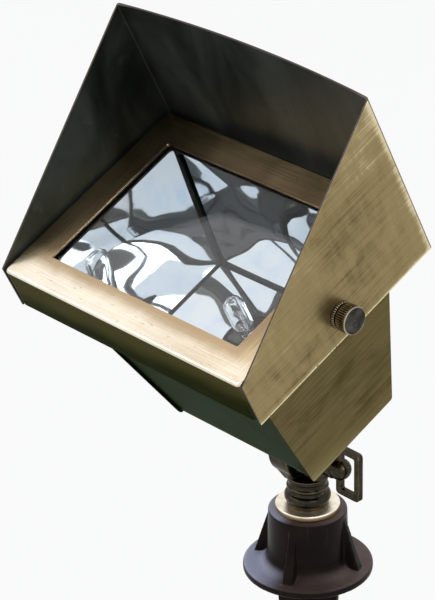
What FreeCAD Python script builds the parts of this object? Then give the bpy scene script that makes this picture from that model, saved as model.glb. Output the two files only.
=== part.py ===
import FreeCAD, Part
import math
import os

# A hooded flood light on a ground stake. Lengths are in millimetres and angles in degrees.
# The origin is where the stem's axis meets the ground line, under the stake's flange. +Z is up,
# the light faces -Y, and X runs across it.
# Pieces of the lamp head are drawn facing straight ahead, with the tilt pivot at the origin, and
# are then turned up by the tilt and lifted to the pivot.

# Ground stake
flange_r = 38.0
flange_t = 4.6
flange_round = 1.2
hub_h = 39.8
hub_top_r = 22.9
hub_foot_r = 23.8
hub_round = 0.8
hub_foot_fillet = 2.4
hub_floor_z = 10.0
rib_count = 4
rib_first_deg = 24.5
rib_reach = 32.2
rib_rim_gap = 2.2
rib_foot_t = 5.4
rib_top_t = 3.8
blade_len = 190.0
blade_point_len = 30.0
blade_top_w = 40.0
blade_low_w = 17.0
blade_t = 4.4
wire_slot_w = 9.0
wire_slot_h = 9.0

# Threaded stem and its lock nut
stem_r = 10.6
stem_bore_r = 5.5
stem_bottom_gap = 8.0
locknut_r = 18.7
locknut_t = 3.6
locknut_round = 0.7

# Lower half of the tilt knuckle
pivot_z = 75.4
collar_r = 12.4
collar_h = 1.9
ring_r = 13.3
ring_h = 5.6
groove_r = 11.4
groove_h = 2.9
bead_r = 12.3
bead_h = 1.8
neck_r = 11.3
neck_h = 3.0
shoulder_r = 12.0
shoulder_h = 2.7
lower_lug_r = 16.5
lower_lug_t = 16.0
lower_lug_foot_half = 9.5
lug_round = 1.4
wire_way_r = 3.2
chamber_r = 8.4
chamber_depth = 6.0

# Upper half of the tilt knuckle
upper_lug_r = 13.0
upper_lug_t = 13.4
arm_half = 10.2
arm_r = 10.4
arm_round = 1.0
pad_reach = 41.0
pad_r = 17.0
pad_t = 3.2
seal_t = 1.0
seal_r = 16.0
nipple_r = 6.0
nipple_len = 8.5
nipple_bore_r = 4.0
pipe_nut_across = 19.0
pipe_nut_t = 4.0
friction_r = 12.6
friction_bore_r = 9.4
friction_t = 1.0

# Clamp screw with its loop handle
bolt_r = 3.0
clamp_nut_across = 10.0
clamp_nut_t = 5.0
clamp_washer_r = 6.9
clamp_washer_t = 1.0
boss_r = 7.2
boss_len = 8.9
boss_round = 0.8
boss_groove_r = 6.3
boss_groove_w = 1.0
ball_r = 6.5
ball_from_groove = 1.9
bolt_in_boss = 8.0
loop_across = 14.6
loop_tall = 26.6
loop_bar = 3.7
loop_corner_r = 3.2
loop_inner_r = 1.3
loop_edge = 0.7

# Lamp head
tilt_deg = 64.0
frame_w = 190.0
frame_h = 135.0
frame_depth = 27.0
frame_wall = 1.5
frame_strip = 20.0
frame_corner_r = 3.0
frame_edge_r = 1.6
opening_corner_r = 1.2
glass_t = 4.0
glass_lap = 6.0
glass_corner_r = 3.0
gasket_lip_t = 1.5
gasket_wall = 2.0
gasket_show = 1.0
housing_depth = 134.0
mouth_ledge_w = 15.0
mouth_ledge_h = 14.5
housing_taper_w = 24.2
housing_taper_h = 20.7
sheet_t = 1.2
bend_r = 2.6
side_t = 1.5
side_proud = 1.1
side_corner_r = 2.0
rim_t = 1.5
rim_gap = 0.5
rim_lap = 1.2
door_boss_r = 3.6
door_screw_r = 1.5
door_screw_len = 5.5
door_head_r = 2.9
door_head_t = 2.0
stiffener_side_gap = 3.0
stiffener_over = 1.0
stiffener_t = 1.5

# Reflector and lamp
reflector_t = 0.6
reflector_gap = 0.8
reflector_lip = 3.6
lamp_room = 52.0
reflector_back_gap_w = 4.0
reflector_back_gap_h = 3.6
seam_back_share = 0.4
seam_w = 7.0
lamp_hole_r = 18.5
lamp_stand = 34.5
capsule_r = 6.0
capsule_len = 27.0
capsule_wall = 1.0
capsule_nose_r = 4.5
pinch_w = 10.5
pinch_t = 3.6
pinch_len = 6.0
pin_gap = 6.35
pin_r = 0.6
pin_len = 7.5
filament_r = 1.4
filament_wire_r = 0.25
filament_len = 6.0
filament_turns = 6
support_r = 0.3
support_in = 4.0
holder_w = 28.0
holder_h = 12.0
holder_len = 12.0
holder_round = 2.5
holder_screw_off = 9.5
bracket_t = 1.2
bracket_h = 14.0
bracket_leg_x = 27.0
bracket_foot = 10.0
bracket_hole_r = 4.6
small_screw_r = 1.5
small_head_r = 2.8
holder_head_r = 2.4
small_head_t = 1.8
small_screw_len = 5.0
lead_r = 0.9
lead_bow = 6.0
lead_tail = 8.0
lead_straight_share = 0.16
lead_bend_share = 0.45
lead_gap = 3.8
grommet_lip = 1.2
grommet_len = 5.0

# Glare hood and its thumb screws
hood_gap = 1.2
hood_sheet = 1.2
hood_bend_r = 2.2
hood_top_clear = 1.5
hood_bow = 4.5
hood_reach = 79.0
hood_back_over = 2.3
hood_foot_rise = 0.6
thumb_depth = 15.0
thumb_rise = 2.5
thumb_r = 7.75
thumb_base_w = 2.0
thumb_waist_w = 1.3
thumb_waist_r = 7.0
thumb_knurl_w = 5.2
thumb_rim_w = 1.7
thumb_chamfer = 0.5
thumb_pip_r = 0.8
thumb_pip_h = 0.3
thumb_shank_r = 2.5
thumb_shank_spare = 2.0
knurl_teeth = 40
knurl_depth = 0.4
weld_nut_across = 8.0
weld_nut_t = 4.5
spacer_r = 7.0

# Clearances
touching = 0.001
running = 0.08
face_gap = 0.1
loose = 0.3
screw_gap = 0.1
swing_gap = 1.0
overrun = 5.0

# Places that follow from the sizes above
hub_top_z = hub_h
nut_top_z = hub_top_z + locknut_t
collar_z = nut_top_z + face_gap
ring_z = collar_z + collar_h
groove_z = ring_z + ring_h
bead_z = groove_z + groove_h
neck_z = bead_z + bead_h
shoulder_z = neck_z + neck_h
shoulder_top_z = shoulder_z + shoulder_h
stem_end_z = hub_floor_z + stem_bottom_gap
friction_x = friction_t / 2
lower_face_x = -friction_x
upper_face_x = friction_x + face_gap
lower_back_x = lower_face_x - lower_lug_t
upper_back_x = upper_face_x + upper_lug_t
washer_end_x = upper_back_x + clamp_washer_t
boss_x = washer_end_x + face_gap
boss_end_x = boss_x + boss_len
groove_end_x = boss_end_x + boss_groove_w
ball_x = groove_end_x + ball_from_groove

front_y = -(pad_reach + seal_t + housing_depth)
gasket_y = front_y + frame_wall
glass_y = gasket_y + gasket_lip_t
glass_end_y = glass_y + glass_t
lip_y = glass_end_y + gasket_lip_t
rim_y = lip_y + reflector_t
shell_y = rim_y + rim_t
skirt_y = front_y + frame_depth
back_y = front_y + housing_depth
stiffener_y = back_y - sheet_t - stiffener_t
pad_y = -pad_reach
arm_y = pad_y + pad_t
arm_start_y = -(lower_lug_r + swing_gap)
bowl_y = back_y - lamp_room
tip_y = bowl_y - lamp_stand
pinch_y = tip_y + capsule_len
holder_y = pinch_y + pinch_len
bridge_y = holder_y + holder_len
nipple_y = pad_y - nipple_len - seal_t
thumb_y = front_y + thumb_depth

housing_mouth_w = frame_w - 2 * mouth_ledge_w
housing_mouth_h = frame_h - 2 * mouth_ledge_h
housing_back_w = housing_mouth_w - 2 * housing_taper_w
housing_back_h = housing_mouth_h - 2 * housing_taper_h
stiffener_w = 2 * (bracket_leg_x - stiffener_side_gap)
stiffener_h = 2 * (pad_r + stiffener_over)
frame_in_w = frame_w - 2 * frame_wall
frame_in_h = frame_h - 2 * frame_wall
opening_w = frame_w - 2 * frame_strip
opening_h = frame_h - 2 * frame_strip
glass_w = opening_w + 2 * glass_lap
glass_h = opening_h + 2 * glass_lap
gasket_w = glass_w + 2 * gasket_wall
gasket_h = glass_h + 2 * gasket_wall
boss_at_x = (gasket_w + frame_in_w) / 4
boss_at_z = (gasket_h + frame_in_h) / 4
wing_in_x = frame_w / 2 + hood_gap
wing_out_x = wing_in_x + hood_sheet
thumb_x = wing_out_x + face_gap
hood_top_in = frame_h / 2 + hood_top_clear
hood_top_out = hood_top_in + hood_sheet


def vec(x, y, z):
    return FreeCAD.Vector(x, y, z)


X_AXIS = vec(1, 0, 0)
Y_AXIS = vec(0, 1, 0)
Z_AXIS = vec(0, 0, 1)


def housing_half_w(y):
    """Half the housing's width where the depth is y."""
    slope = (housing_mouth_w - housing_back_w) / (2 * (back_y - skirt_y))
    return housing_back_w / 2 + (back_y - y) * slope


def housing_half_h(y):
    """Half the housing's height where the depth is y."""
    slope = (housing_mouth_h - housing_back_h) / (2 * (back_y - skirt_y))
    return housing_back_h / 2 + (back_y - y) * slope


def box(x_low, x_high, y_low, y_high, z_low, z_high):
    return Part.makeBox(x_high - x_low, y_high - y_low, z_high - z_low, vec(x_low, y_low, z_low))


def rod(r, start, end):
    """A round bar from one point to another."""
    along = end - start
    return Part.makeCylinder(r, along.Length, start, along)


def outline(corners, place):
    """A closed wire through corners (a, b, rounding), put in space by place(a, b)."""
    ends = []
    for i, (a, b, rounding) in enumerate(corners):
        if rounding == 0:
            ends.append([place(a, b)])
            continue
        before = corners[i - 1]
        after = corners[(i + 1) % len(corners)]
        u = vec(before[0] - a, before[1] - b, 0).normalize()
        v = vec(after[0] - a, after[1] - b, 0).normalize()
        half = u.getAngle(v) / 2
        reach = rounding / math.tan(half)
        inward = (u + v).normalize() * (rounding / math.sin(half) - rounding)
        points = [u * reach, inward, v * reach]
        ends.append([place(a + point.x, b + point.y) for point in points])
    edges = []
    for i, group in enumerate(ends):
        if len(group) == 3:
            edges.append(Part.Arc(*group).toShape())
        following = ends[(i + 1) % len(ends)][0]
        if group[-1].distanceToPoint(following) > touching:
            edges.append(Part.LineSegment(group[-1], following).toShape())
    return Part.Wire(edges)


def prism(corners, place, along):
    """An outline filled and drawn out along a vector."""
    return Part.Face(outline(corners, place)).extrude(along)


def turned_z(corners):
    """A turned piece about the stem's axis, from corners (radius, height, rounding)."""
    face = Part.Face(outline(corners, lambda r, z: vec(r, 0, z)))
    return face.revolve(vec(0, 0, 0), Z_AXIS, 360)


def turned_x(corners):
    """A turned piece about the X axis, from corners (along, radius, rounding)."""
    face = Part.Face(outline(corners, lambda x, r: vec(x, 0, r)))
    return face.revolve(vec(0, 0, 0), X_AXIS, 360)


def turned_y(corners):
    """A turned piece about the Y axis, from corners (along, radius, rounding)."""
    face = Part.Face(outline(corners, lambda y, r: vec(r, y, 0)))
    return face.revolve(vec(0, 0, 0), Y_AXIS, 360)


def plate(width, height, y_low, y_high, corner=0.0):
    """A flat plate across the optical axis, centred on it."""
    a = width / 2
    b = height / 2
    corners = [(-a, -b, corner), (a, -b, corner), (a, b, corner), (-a, b, corner)]
    return prism(corners, lambda x, z: vec(x, y_low, z), vec(0, y_high - y_low, 0))


def pyramid(front_w, front_h, y_low, back_w, back_h, y_high):
    """A straight tapering block between two rectangles across the optical axis."""
    wires = []
    for width, height, y in ((front_w, front_h, y_low), (back_w, back_h, y_high)):
        a = width / 2
        b = height / 2
        corners = [(-a, -b, 0), (a, -b, 0), (a, b, 0), (-a, b, 0)]
        wires.append(outline(corners, lambda x, z, y=y: vec(x, y, z)))
    return Part.makeLoft(wires, True, True)


def hexagon(across, centre, along):
    """A six-sided bar of a given size across its flats, from its centre along a vector."""
    ring_of_corners = []
    side = vec(0, 0, 1) if abs(along.z) < along.Length / 2 else vec(1, 0, 0)
    other = along.cross(side).normalize()
    reach = across / math.sqrt(3)
    for i in range(6):
        angle = math.radians(60 * i)
        ring_of_corners.append(centre + side * (reach * math.cos(angle)) + other * (reach * math.sin(angle)))
    ring_of_corners.append(ring_of_corners[0])
    return Part.Face(Part.makePolygon(ring_of_corners)).extrude(along)


def joined(shapes):
    """Overlapping shapes made one solid."""
    return shapes[0].multiFuse(shapes[1:]).removeSplitter()


def round_edges(shape, radius, wanted):
    """Round the edges that the test picks."""
    edges = [edge for edge in shape.Edges if wanted(edge)]
    return shape.makeFillet(radius, edges)


def at_pivot(shape):
    """Turn a piece of the head up by the tilt and lift it to the knuckle's pivot."""
    turned = shape.copy()
    turned.rotate(vec(0, 0, 0), X_AXIS, -tilt_deg)
    turned.translate(vec(0, 0, pivot_z))
    return turned


def on_clamp_axis(shape):
    """Lift a piece drawn about the X axis to the knuckle's pivot."""
    lifted = shape.copy()
    lifted.translate(vec(0, 0, pivot_z))
    return lifted


def mirrored(shape):
    """The same piece on the other side of the head."""
    return shape.mirror(vec(0, 0, 0), X_AXIS)


def save(name, shape):
    """Write one piece, and print its solids and volume."""
    solids = shape.Solids
    kept = solids[0] if len(solids) == 1 else Part.makeCompound(solids)
    state = "ok" if all(solid.isValid() for solid in solids) and solids else "BROKEN"
    print(name, len(solids), round(kept.Volume), state)
    kept.exportStep("parts/" + name + ".step")


# Ground stake: a moulded hub, flange, four ribs and a cross-shaped blade

def stake_rib(index):
    """A triangular rib, thicker at its foot, from the hub out along the flange."""
    root = hub_foot_r - hub_round * 2
    top = hub_top_z - rib_rim_gap
    top_root = hub_top_r - hub_round
    foot_half = rib_foot_t / 2
    top_half = rib_top_t / 2
    low = flange_t - flange_round
    corners = {
        "in_low_a": vec(root, -foot_half, low), "in_low_b": vec(root, foot_half, low),
        "out_low_a": vec(rib_reach, -foot_half, low), "out_low_b": vec(rib_reach, foot_half, low),
        "in_top_a": vec(top_root, -top_half, top), "in_top_b": vec(top_root, top_half, top),
    }
    sides = (
        ("in_low_a", "out_low_a", "out_low_b", "in_low_b"), ("in_low_a", "in_top_a", "out_low_a"),
        ("in_low_b", "out_low_b", "in_top_b"), ("out_low_a", "in_top_a", "out_low_b"),
        ("out_low_b", "in_top_a", "in_top_b"), ("in_low_a", "in_low_b", "in_top_a"),
        ("in_low_b", "in_top_b", "in_top_a"),
    )
    faces = [Part.Face(Part.makePolygon([corners[n] for n in side + side[:1]])) for side in sides]
    rib = Part.Solid(Part.Shell(faces))
    rib.rotate(vec(0, 0, 0), Z_AXIS, rib_first_deg - 90 + index * 360 / rib_count)
    return rib


def stake_fin(turn_deg):
    """One flat fin of the blade, tapering to a point below the ground."""
    top = blade_top_w / 2
    low = blade_low_w / 2
    knee_z = blade_point_len - blade_len
    corners = [(-top, flange_t / 2, 0), (top, flange_t / 2, 0), (low, knee_z, 0), (0, -blade_len, 0),
               (-low, knee_z, 0)]
    fin = prism(corners, lambda a, z: vec(a, -blade_t / 2, z), vec(0, blade_t, 0))
    fin.rotate(vec(0, 0, 0), Z_AXIS, turn_deg)
    return fin


def ground_stake():
    bore_r = stem_r + running
    hub = turned_z([
        (0, 0, 0), (flange_r, 0, flange_round), (flange_r, flange_t, flange_round),
        (hub_foot_r, flange_t, hub_foot_fillet), (hub_top_r, hub_top_z, hub_round), (0, hub_top_z, 0)])
    pieces = [hub] + [stake_rib(i) for i in range(rib_count)]
    pieces += [stake_fin(rib_first_deg), stake_fin(rib_first_deg + 90)]
    body = joined(pieces)
    bore = Part.makeCylinder(bore_r, hub_h, vec(0, 0, hub_floor_z))
    half = wire_slot_w / 2
    slot = box(-half, half, 0, hub_foot_r + overrun, hub_floor_z, hub_floor_z + wire_slot_h)
    return body.cut(joined([bore, slot]))


def stem_locknut():
    """The polished round nut that locks the stem to the stake."""
    corners = [(stem_r + running, hub_top_z, 0), (locknut_r, hub_top_z, locknut_round),
               (locknut_r, nut_top_z, locknut_round), (stem_r + running, nut_top_z, 0)]
    return turned_z(corners)


# Tilt knuckle

def lower_lug():
    """The round ear that stands on the stem, left of the pivot's middle plane."""
    disc = Part.makeCylinder(lower_lug_r, lower_lug_t, vec(lower_back_x, 0, pivot_z), X_AXIS)
    half = lower_lug_foot_half
    foot = [(-half, shoulder_z, 0), (half, shoulder_z, 0), (lower_lug_r, pivot_z, 0),
            (-lower_lug_r, pivot_z, 0)]
    web = prism(foot, lambda y, z: vec(lower_back_x, y, z), vec(lower_lug_t, 0, 0))
    knee_z = (shoulder_z + pivot_z) / 2
    side = [(lower_face_x, shoulder_z, 0), (lower_face_x, pivot_z + lower_lug_r + overrun, 0),
            (lower_back_x, pivot_z + lower_lug_r + overrun, 0), (lower_back_x, knee_z, 0),
            (-lower_lug_foot_half, shoulder_z, 0)]
    width = lower_lug_r + overrun
    trim = prism(side, lambda x, z: vec(x, -width, z), vec(0, 2 * width, 0))
    return joined([disc, web]).common(trim)


def knuckle_lower():
    turned = turned_z([
        (0, stem_end_z, 0), (stem_r, stem_end_z, 0), (stem_r, collar_z, 0), (collar_r, collar_z, 0),
        (collar_r, ring_z, 0), (ring_r, ring_z, ring_h / 3), (ring_r, groove_z, ring_h / 3),
        (groove_r, groove_z, 0), (groove_r, bead_z, 0), (bead_r, bead_z, bead_h / 3),
        (bead_r, neck_z, bead_h / 3), (neck_r, neck_z, 0), (neck_r, shoulder_z, 0),
        (shoulder_r, shoulder_z, 0), (shoulder_r, shoulder_top_z, lug_round), (0, shoulder_top_z, 0)])
    body = joined([turned, lower_lug()])
    body = round_edges(body, lug_round, lambda edge: is_rim(edge, lower_back_x, lower_lug_r))
    way_x = -(friction_x + wire_way_r + bolt_r / 2)
    cuts = [
        Part.makeCylinder(stem_bore_r, bead_z - stem_end_z, vec(0, 0, stem_end_z)),
        Part.makeCylinder(wire_way_r, pivot_z - groove_z, vec(way_x, 0, groove_z)),
        Part.makeCylinder(chamber_r, chamber_depth, vec(lower_face_x - chamber_depth, 0, pivot_z), X_AXIS),
        Part.makeCylinder(bolt_r + running, lower_lug_t, vec(lower_back_x, 0, pivot_z), X_AXIS),
        hexagon(clamp_nut_across + 2 * screw_gap, vec(lower_back_x, 0, pivot_z), X_AXIS * clamp_nut_t)]
    return body.cut(joined(cuts))


def is_rim(edge, x, r):
    """Whether an edge is part of the round rim of a lug at x."""
    curve = edge.Curve
    if not isinstance(curve, Part.Circle) or abs(curve.Radius - r) > running:
        return False
    return abs(curve.Center.x - x) < running


def clamp_nut():
    bar = hexagon(clamp_nut_across, vec(lower_back_x, 0, pivot_z), X_AXIS * clamp_nut_t)
    bore = Part.makeCylinder(bolt_r + running, clamp_nut_t, vec(lower_back_x, 0, pivot_z), X_AXIS)
    return bar.cut(bore)


def friction_washer():
    ring = Part.makeCylinder(friction_r, friction_t, vec(lower_face_x, 0, pivot_z), X_AXIS)
    return ring.cut(Part.makeCylinder(friction_bore_r, friction_t, vec(lower_face_x, 0, pivot_z), X_AXIS))


def knuckle_upper():
    """The ear, arm and pad that carry the housing, with the threaded nipple through its back."""
    disc = Part.makeCylinder(upper_lug_r, upper_lug_t, vec(upper_face_x, 0, 0), X_AXIS)
    arm = box(upper_face_x, upper_face_x + arm_half, arm_start_y - arm_half, 0, -arm_half, arm_half)
    arm = arm.common(Part.makeCylinder(upper_face_x + upper_lug_t, 2 * arm_half - arm_start_y,
                                       vec(0, arm_start_y - 2 * arm_half, 0), Y_AXIS))
    neck = turned_y([
        (arm_start_y, 0, 0), (arm_start_y, arm_r, arm_round), (arm_y, arm_r, 0), (arm_y, pad_r, arm_round),
        (pad_y, pad_r, 0), (pad_y, nipple_r, 0), (nipple_y, nipple_r, 0), (nipple_y, 0, 0)])
    body = joined([disc, arm, neck])
    body = round_edges(body, lug_round, lambda edge: is_rim(edge, upper_back_x, upper_lug_r))
    way_x = upper_face_x + wire_way_r + bolt_r / 2
    way_y = arm_start_y - arm_half - wire_way_r
    cuts = [
        Part.makeCylinder(nipple_bore_r, arm_start_y - arm_half - nipple_y, vec(0, nipple_y, 0), Y_AXIS),
        Part.makeCylinder(wire_way_r, arm_half - arm_start_y, vec(way_x, way_y, 0), Y_AXIS),
        Part.makeCylinder(chamber_r, chamber_depth, vec(upper_face_x, 0, 0), X_AXIS),
        Part.makeCylinder(bolt_r + running, upper_lug_t, vec(upper_face_x, 0, 0), X_AXIS)]
    return body.cut(joined(cuts))


def clamp_washer():
    ring = Part.makeCylinder(clamp_washer_r, clamp_washer_t, vec(upper_back_x, 0, pivot_z), X_AXIS)
    return ring.cut(Part.makeCylinder(bolt_r + running, clamp_washer_t, vec(upper_back_x, 0, pivot_z), X_AXIS))


def clamp_bolt():
    return rod(bolt_r, vec(lower_back_x, 0, pivot_z), vec(boss_x + bolt_in_boss, 0, pivot_z))


def loop():
    """The closed loop that is gripped to turn the clamp screw."""
    wide = loop_across / 2 + loop_bar / 2
    tall = loop_tall / 2 + loop_bar / 2
    outer = [(-wide, -tall, loop_corner_r), (wide, -tall, loop_corner_r), (wide, tall, loop_corner_r),
             (-wide, tall, loop_corner_r)]
    wide_in = wide - loop_bar
    tall_in = tall - loop_bar
    inner = [(-wide_in, -tall_in, loop_inner_r), (wide_in, -tall_in, loop_inner_r),
             (wide_in, tall_in, loop_inner_r), (-wide_in, tall_in, loop_inner_r)]
    middle = ball_x + loop_across / 2
    place = lambda x, z: vec(middle + x, -loop_bar / 2, z)
    ring = prism(outer, place, Y_AXIS * loop_bar).cut(prism(inner, place, Y_AXIS * loop_bar))
    return round_edges(ring, loop_edge, lambda edge: abs(edge.BoundBox.YLength) < running)


def clamp_handle():
    """The turned boss and ball, cast in one with the loop."""
    boss = turned_x([(boss_x, 0, 0), (boss_x, boss_r, boss_round), (boss_end_x, boss_r, boss_round),
                     (boss_end_x, boss_groove_r, 0), (ball_x, boss_groove_r, 0), (ball_x, 0, 0)])
    ball = Part.makeSphere(ball_r, vec(ball_x, 0, 0))
    tidy_ball = ball.common(box(groove_end_x, ball_x + ball_r + overrun, -boss_r, boss_r, -boss_r, boss_r))
    handle = joined([boss, tidy_ball, loop()])
    hole = rod(bolt_r + screw_gap, vec(boss_x, 0, 0), vec(boss_x + bolt_in_boss + screw_gap, 0, 0))
    return on_clamp_axis(handle.cut(hole))


# Housing

def housing_wrap():
    """One folded sheet: sloping top, upright back and sloping bottom."""
    y_open = shell_y
    outer = [(y_open, -housing_half_h(y_open), 0), (back_y, -housing_half_h(back_y), bend_r),
             (back_y, housing_half_h(back_y), bend_r), (y_open, housing_half_h(y_open), 0)]
    inner_r = bend_r - sheet_t
    inner_y = back_y - sheet_t
    mouth_h = housing_half_h(y_open) - sheet_t
    end_h = housing_half_h(inner_y) - sheet_t
    inner = [(y_open, -mouth_h, 0), (inner_y, -end_h, inner_r), (inner_y, end_h, inner_r), (y_open, mouth_h, 0)]
    width = housing_half_w(y_open)
    solid = prism(outer, lambda y, z: vec(-width, y, z), X_AXIS * (2 * width))
    hollow = prism(inner, lambda y, z: vec(-width, y, z), X_AXIS * (2 * width))
    between = pyramid(2 * (width - side_t), frame_h, y_open, housing_back_w - 2 * side_t, frame_h, back_y)
    hole = rod(nipple_r + loose, vec(0, back_y + overrun, 0), vec(0, back_y - overrun, 0))
    wrap = solid.cut(hollow).common(between).cut(hole)
    return wrap.cut(bracket_screw_holes())


def side_plate():
    """The flat end wall on the +X side, standing a little proud of the folded sheet."""
    mouth = housing_half_h(shell_y) + side_proud
    end_y = back_y + side_proud
    end = housing_half_h(back_y) + side_proud
    corners = [(shell_y, -mouth, 0), (end_y, -end, side_corner_r), (end_y, end, side_corner_r),
               (shell_y, mouth, 0)]
    return prism(corners, lambda y, z: vec(housing_half_w(y) - side_t, y, z), X_AXIS * side_t)


def mouth_in_w():
    return 2 * (housing_half_w(shell_y) - side_t - rim_lap)


def mouth_in_h():
    return 2 * (housing_half_h(shell_y) - sheet_t - rim_lap)


def corners_of_door():
    """The places of the four door screws, in width and height."""
    return [(sx * boss_at_x, sz * boss_at_z) for sx in (-1, 1) for sz in (-1, 1)]


def front_rim():
    """The flat rim round the housing's mouth, which the door frame is screwed to."""
    outer = plate(frame_in_w - 2 * rim_gap, frame_in_h - 2 * rim_gap, rim_y, shell_y, frame_wall)
    rim = outer.cut(plate(mouth_in_w(), mouth_in_h(), rim_y, shell_y))
    for x, z in corners_of_door():
        rim = rim.cut(rod(door_screw_r + screw_gap, vec(x, rim_y, z), vec(x, shell_y, z)))
    return rim


def door_frame():
    """The drawn brass frame: a front strip, a skirt all round and four screw bosses."""
    outer = plate(frame_w, frame_h, front_y, skirt_y, frame_corner_r)
    outer = round_edges(outer, frame_edge_r, lambda edge: edge.BoundBox.YMax < front_y + running)
    inner = plate(frame_in_w, frame_in_h, gasket_y, skirt_y, frame_corner_r - frame_wall)
    frame = outer.cut(inner).cut(plate(opening_w, opening_h, front_y, gasket_y, opening_corner_r))
    for side in (-1, 1):
        start = vec(side * (frame_w / 2 + overrun), thumb_y, thumb_rise)
        frame = frame.cut(rod(thumb_shank_r + running, start, vec(0, thumb_y, thumb_rise)))
    bosses = []
    for x, z in corners_of_door():
        boss = rod(door_boss_r, vec(x, gasket_y - frame_wall / 2, z), vec(x, rim_y, z))
        hole = rod(door_screw_r + screw_gap, vec(x, gasket_y, z), vec(x, rim_y, z))
        bosses.append(boss.cut(hole))
    return joined([frame] + bosses)


def pan_screw(at, into, shank_r, head_r, head_t, shank_len):
    """A pan-head screw whose head sits on the point at, driven along the unit vector into."""
    head = Part.makeCylinder(head_r, head_t, at, into * -1)
    head = round_edges(head, head_t / 3, lambda edge: (edge.BoundBox.Center - at).dot(into) < -head_t / 2
                       and isinstance(edge.Curve, Part.Circle))
    shank = Part.makeCylinder(shank_r, shank_len + head_t / 2, at - into * (head_t / 2), into)
    slot_w = head_r / 4
    slot = box(-slot_w / 2, slot_w / 2, -head_r, head_r, head_t / 2, head_t + overrun)
    slot.Placement = FreeCAD.Placement(at, FreeCAD.Rotation(Z_AXIS, into * -1))
    return joined([head, shank]).cut(slot)


def door_screws():
    forward = vec(0, -1, 0)
    screws = [pan_screw(vec(x, shell_y, z), forward, door_screw_r, door_head_r, door_head_t, door_screw_len)
              for x, z in corners_of_door()]
    return Part.makeCompound(screws)


def lens_gasket():
    """A silicone channel that wraps the glass's edge."""
    block = plate(gasket_w, gasket_h, gasket_y, lip_y, glass_corner_r + gasket_wall)
    mouth_w = opening_w + 2 * gasket_show
    mouth_h = opening_h + 2 * gasket_show
    block = block.cut(plate(mouth_w, mouth_h, gasket_y, lip_y, glass_corner_r))
    return block.cut(plate(glass_w, glass_h, glass_y, glass_end_y, glass_corner_r))


def lens_glass():
    return plate(glass_w, glass_h, glass_y, glass_end_y, glass_corner_r)


def stiffener():
    """The doubling plate inside the housing's back, under the knuckle's nut."""
    sheet = plate(stiffener_w, stiffener_h, stiffener_y, back_y - sheet_t, side_corner_r)
    return sheet.cut(rod(nipple_r + loose, vec(0, stiffener_y, 0), vec(0, back_y, 0)))


def pad_seal():
    ring = rod(seal_r, vec(0, back_y, 0), vec(0, pad_y, 0))
    return ring.cut(rod(nipple_r + screw_gap, vec(0, back_y, 0), vec(0, pad_y, 0)))


def pipe_nut():
    bar = hexagon(pipe_nut_across, vec(0, stiffener_y, 0), Y_AXIS * -pipe_nut_t)
    return bar.cut(rod(nipple_r + screw_gap, vec(0, stiffener_y, 0), vec(0, stiffener_y - pipe_nut_t, 0)))


# Reflector, lamp and wiring

def reflector_back_w():
    return 2 * (housing_half_w(bowl_y) - side_t - reflector_back_gap_w - reflector_t)


def reflector_back_h():
    return 2 * (housing_half_h(bowl_y) - sheet_t - reflector_back_gap_h - reflector_t)


def reflector():
    """Four flat bright walls and a back, with a lip round the mouth and open seams at the corners."""
    front_w = mouth_in_w() - 2 * (reflector_gap + reflector_t)
    front_h = mouth_in_h() - 2 * (reflector_gap + reflector_t)
    back_w = reflector_back_w()
    back_h = reflector_back_h()
    thick = 2 * reflector_t
    outer = pyramid(front_w + thick, front_h + thick, lip_y, back_w + thick, back_h + thick,
                    bowl_y + reflector_t)
    lip = plate(front_w + 2 * reflector_lip, front_h + 2 * reflector_lip, lip_y, rim_y)
    inner = pyramid(front_w, front_h, lip_y, back_w, back_h, bowl_y)
    bowl = joined([outer, lip]).cut(inner)
    bowl = bowl.cut(rod(lamp_hole_r, vec(0, bowl_y, 0), vec(0, bowl_y + reflector_t, 0)))
    for side_x in (-1, 1):
        for side_z in (-1, 1):
            bowl = bowl.cut(seam(side_x, side_z, front_w, front_h))
    return bowl


def seam(side_x, side_z, front_w, front_h):
    """The open strip along one corner, beside the side wall, narrowing towards the back plate."""
    wires = []
    for y, width, height, strip in ((rim_y, front_w, front_h, seam_w),
                                    (bowl_y, reflector_back_w(), reflector_back_h(), seam_w * seam_back_share)):
        out_x = side_x * width / 2
        in_x = out_x - side_x * strip
        low_z = side_z * (height / 2 - reflector_t)
        high_z = side_z * (height / 2 + 3 * reflector_t)
        points = [vec(out_x, y, low_z), vec(in_x, y, low_z), vec(in_x, y, high_z), vec(out_x, y, high_z)]
        wires.append(Part.makePolygon(points + points[:1]))
    return Part.makeLoft(wires, True, True)


def lamp_capsule():
    """The clear quartz bulb: a thin-walled capsule with a flat sealed pinch."""
    outer = turned_y([(tip_y, 0, 0), (tip_y, capsule_r, capsule_nose_r), (pinch_y, capsule_r, capsule_nose_r),
                      (pinch_y, 0, 0)])
    wall = capsule_wall
    inner = turned_y([(tip_y + wall, 0, 0), (tip_y + wall, capsule_r - wall, capsule_nose_r - wall),
                      (pinch_y - wall, capsule_r - wall, capsule_nose_r - wall), (pinch_y - wall, 0, 0)])
    pinch = plate(pinch_w, pinch_t, pinch_y - wall / 2, holder_y, pinch_t / 3)
    glass = joined([outer, pinch]).cut(inner)
    for x, z in support_spots():
        way = rod(support_r + running, vec(x, tip_y + capsule_r, z), vec(x, pinch_y + support_in, z))
        glass = glass.cut(way)
    return glass


def pin_xs():
    return (-pin_gap / 2, pin_gap / 2)


def lamp_pins():
    """Two stiff pins from the pinch into the holder."""
    return Part.makeCompound([rod(pin_r, vec(x, holder_y, 0), vec(x, holder_y + pin_len, 0)) for x in pin_xs()])


def support_spots():
    """Where the two filament supports stand, in width and height."""
    return [(side * (filament_len / 2 + support_r), filament_r) for side in (-1, 1)]


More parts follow.
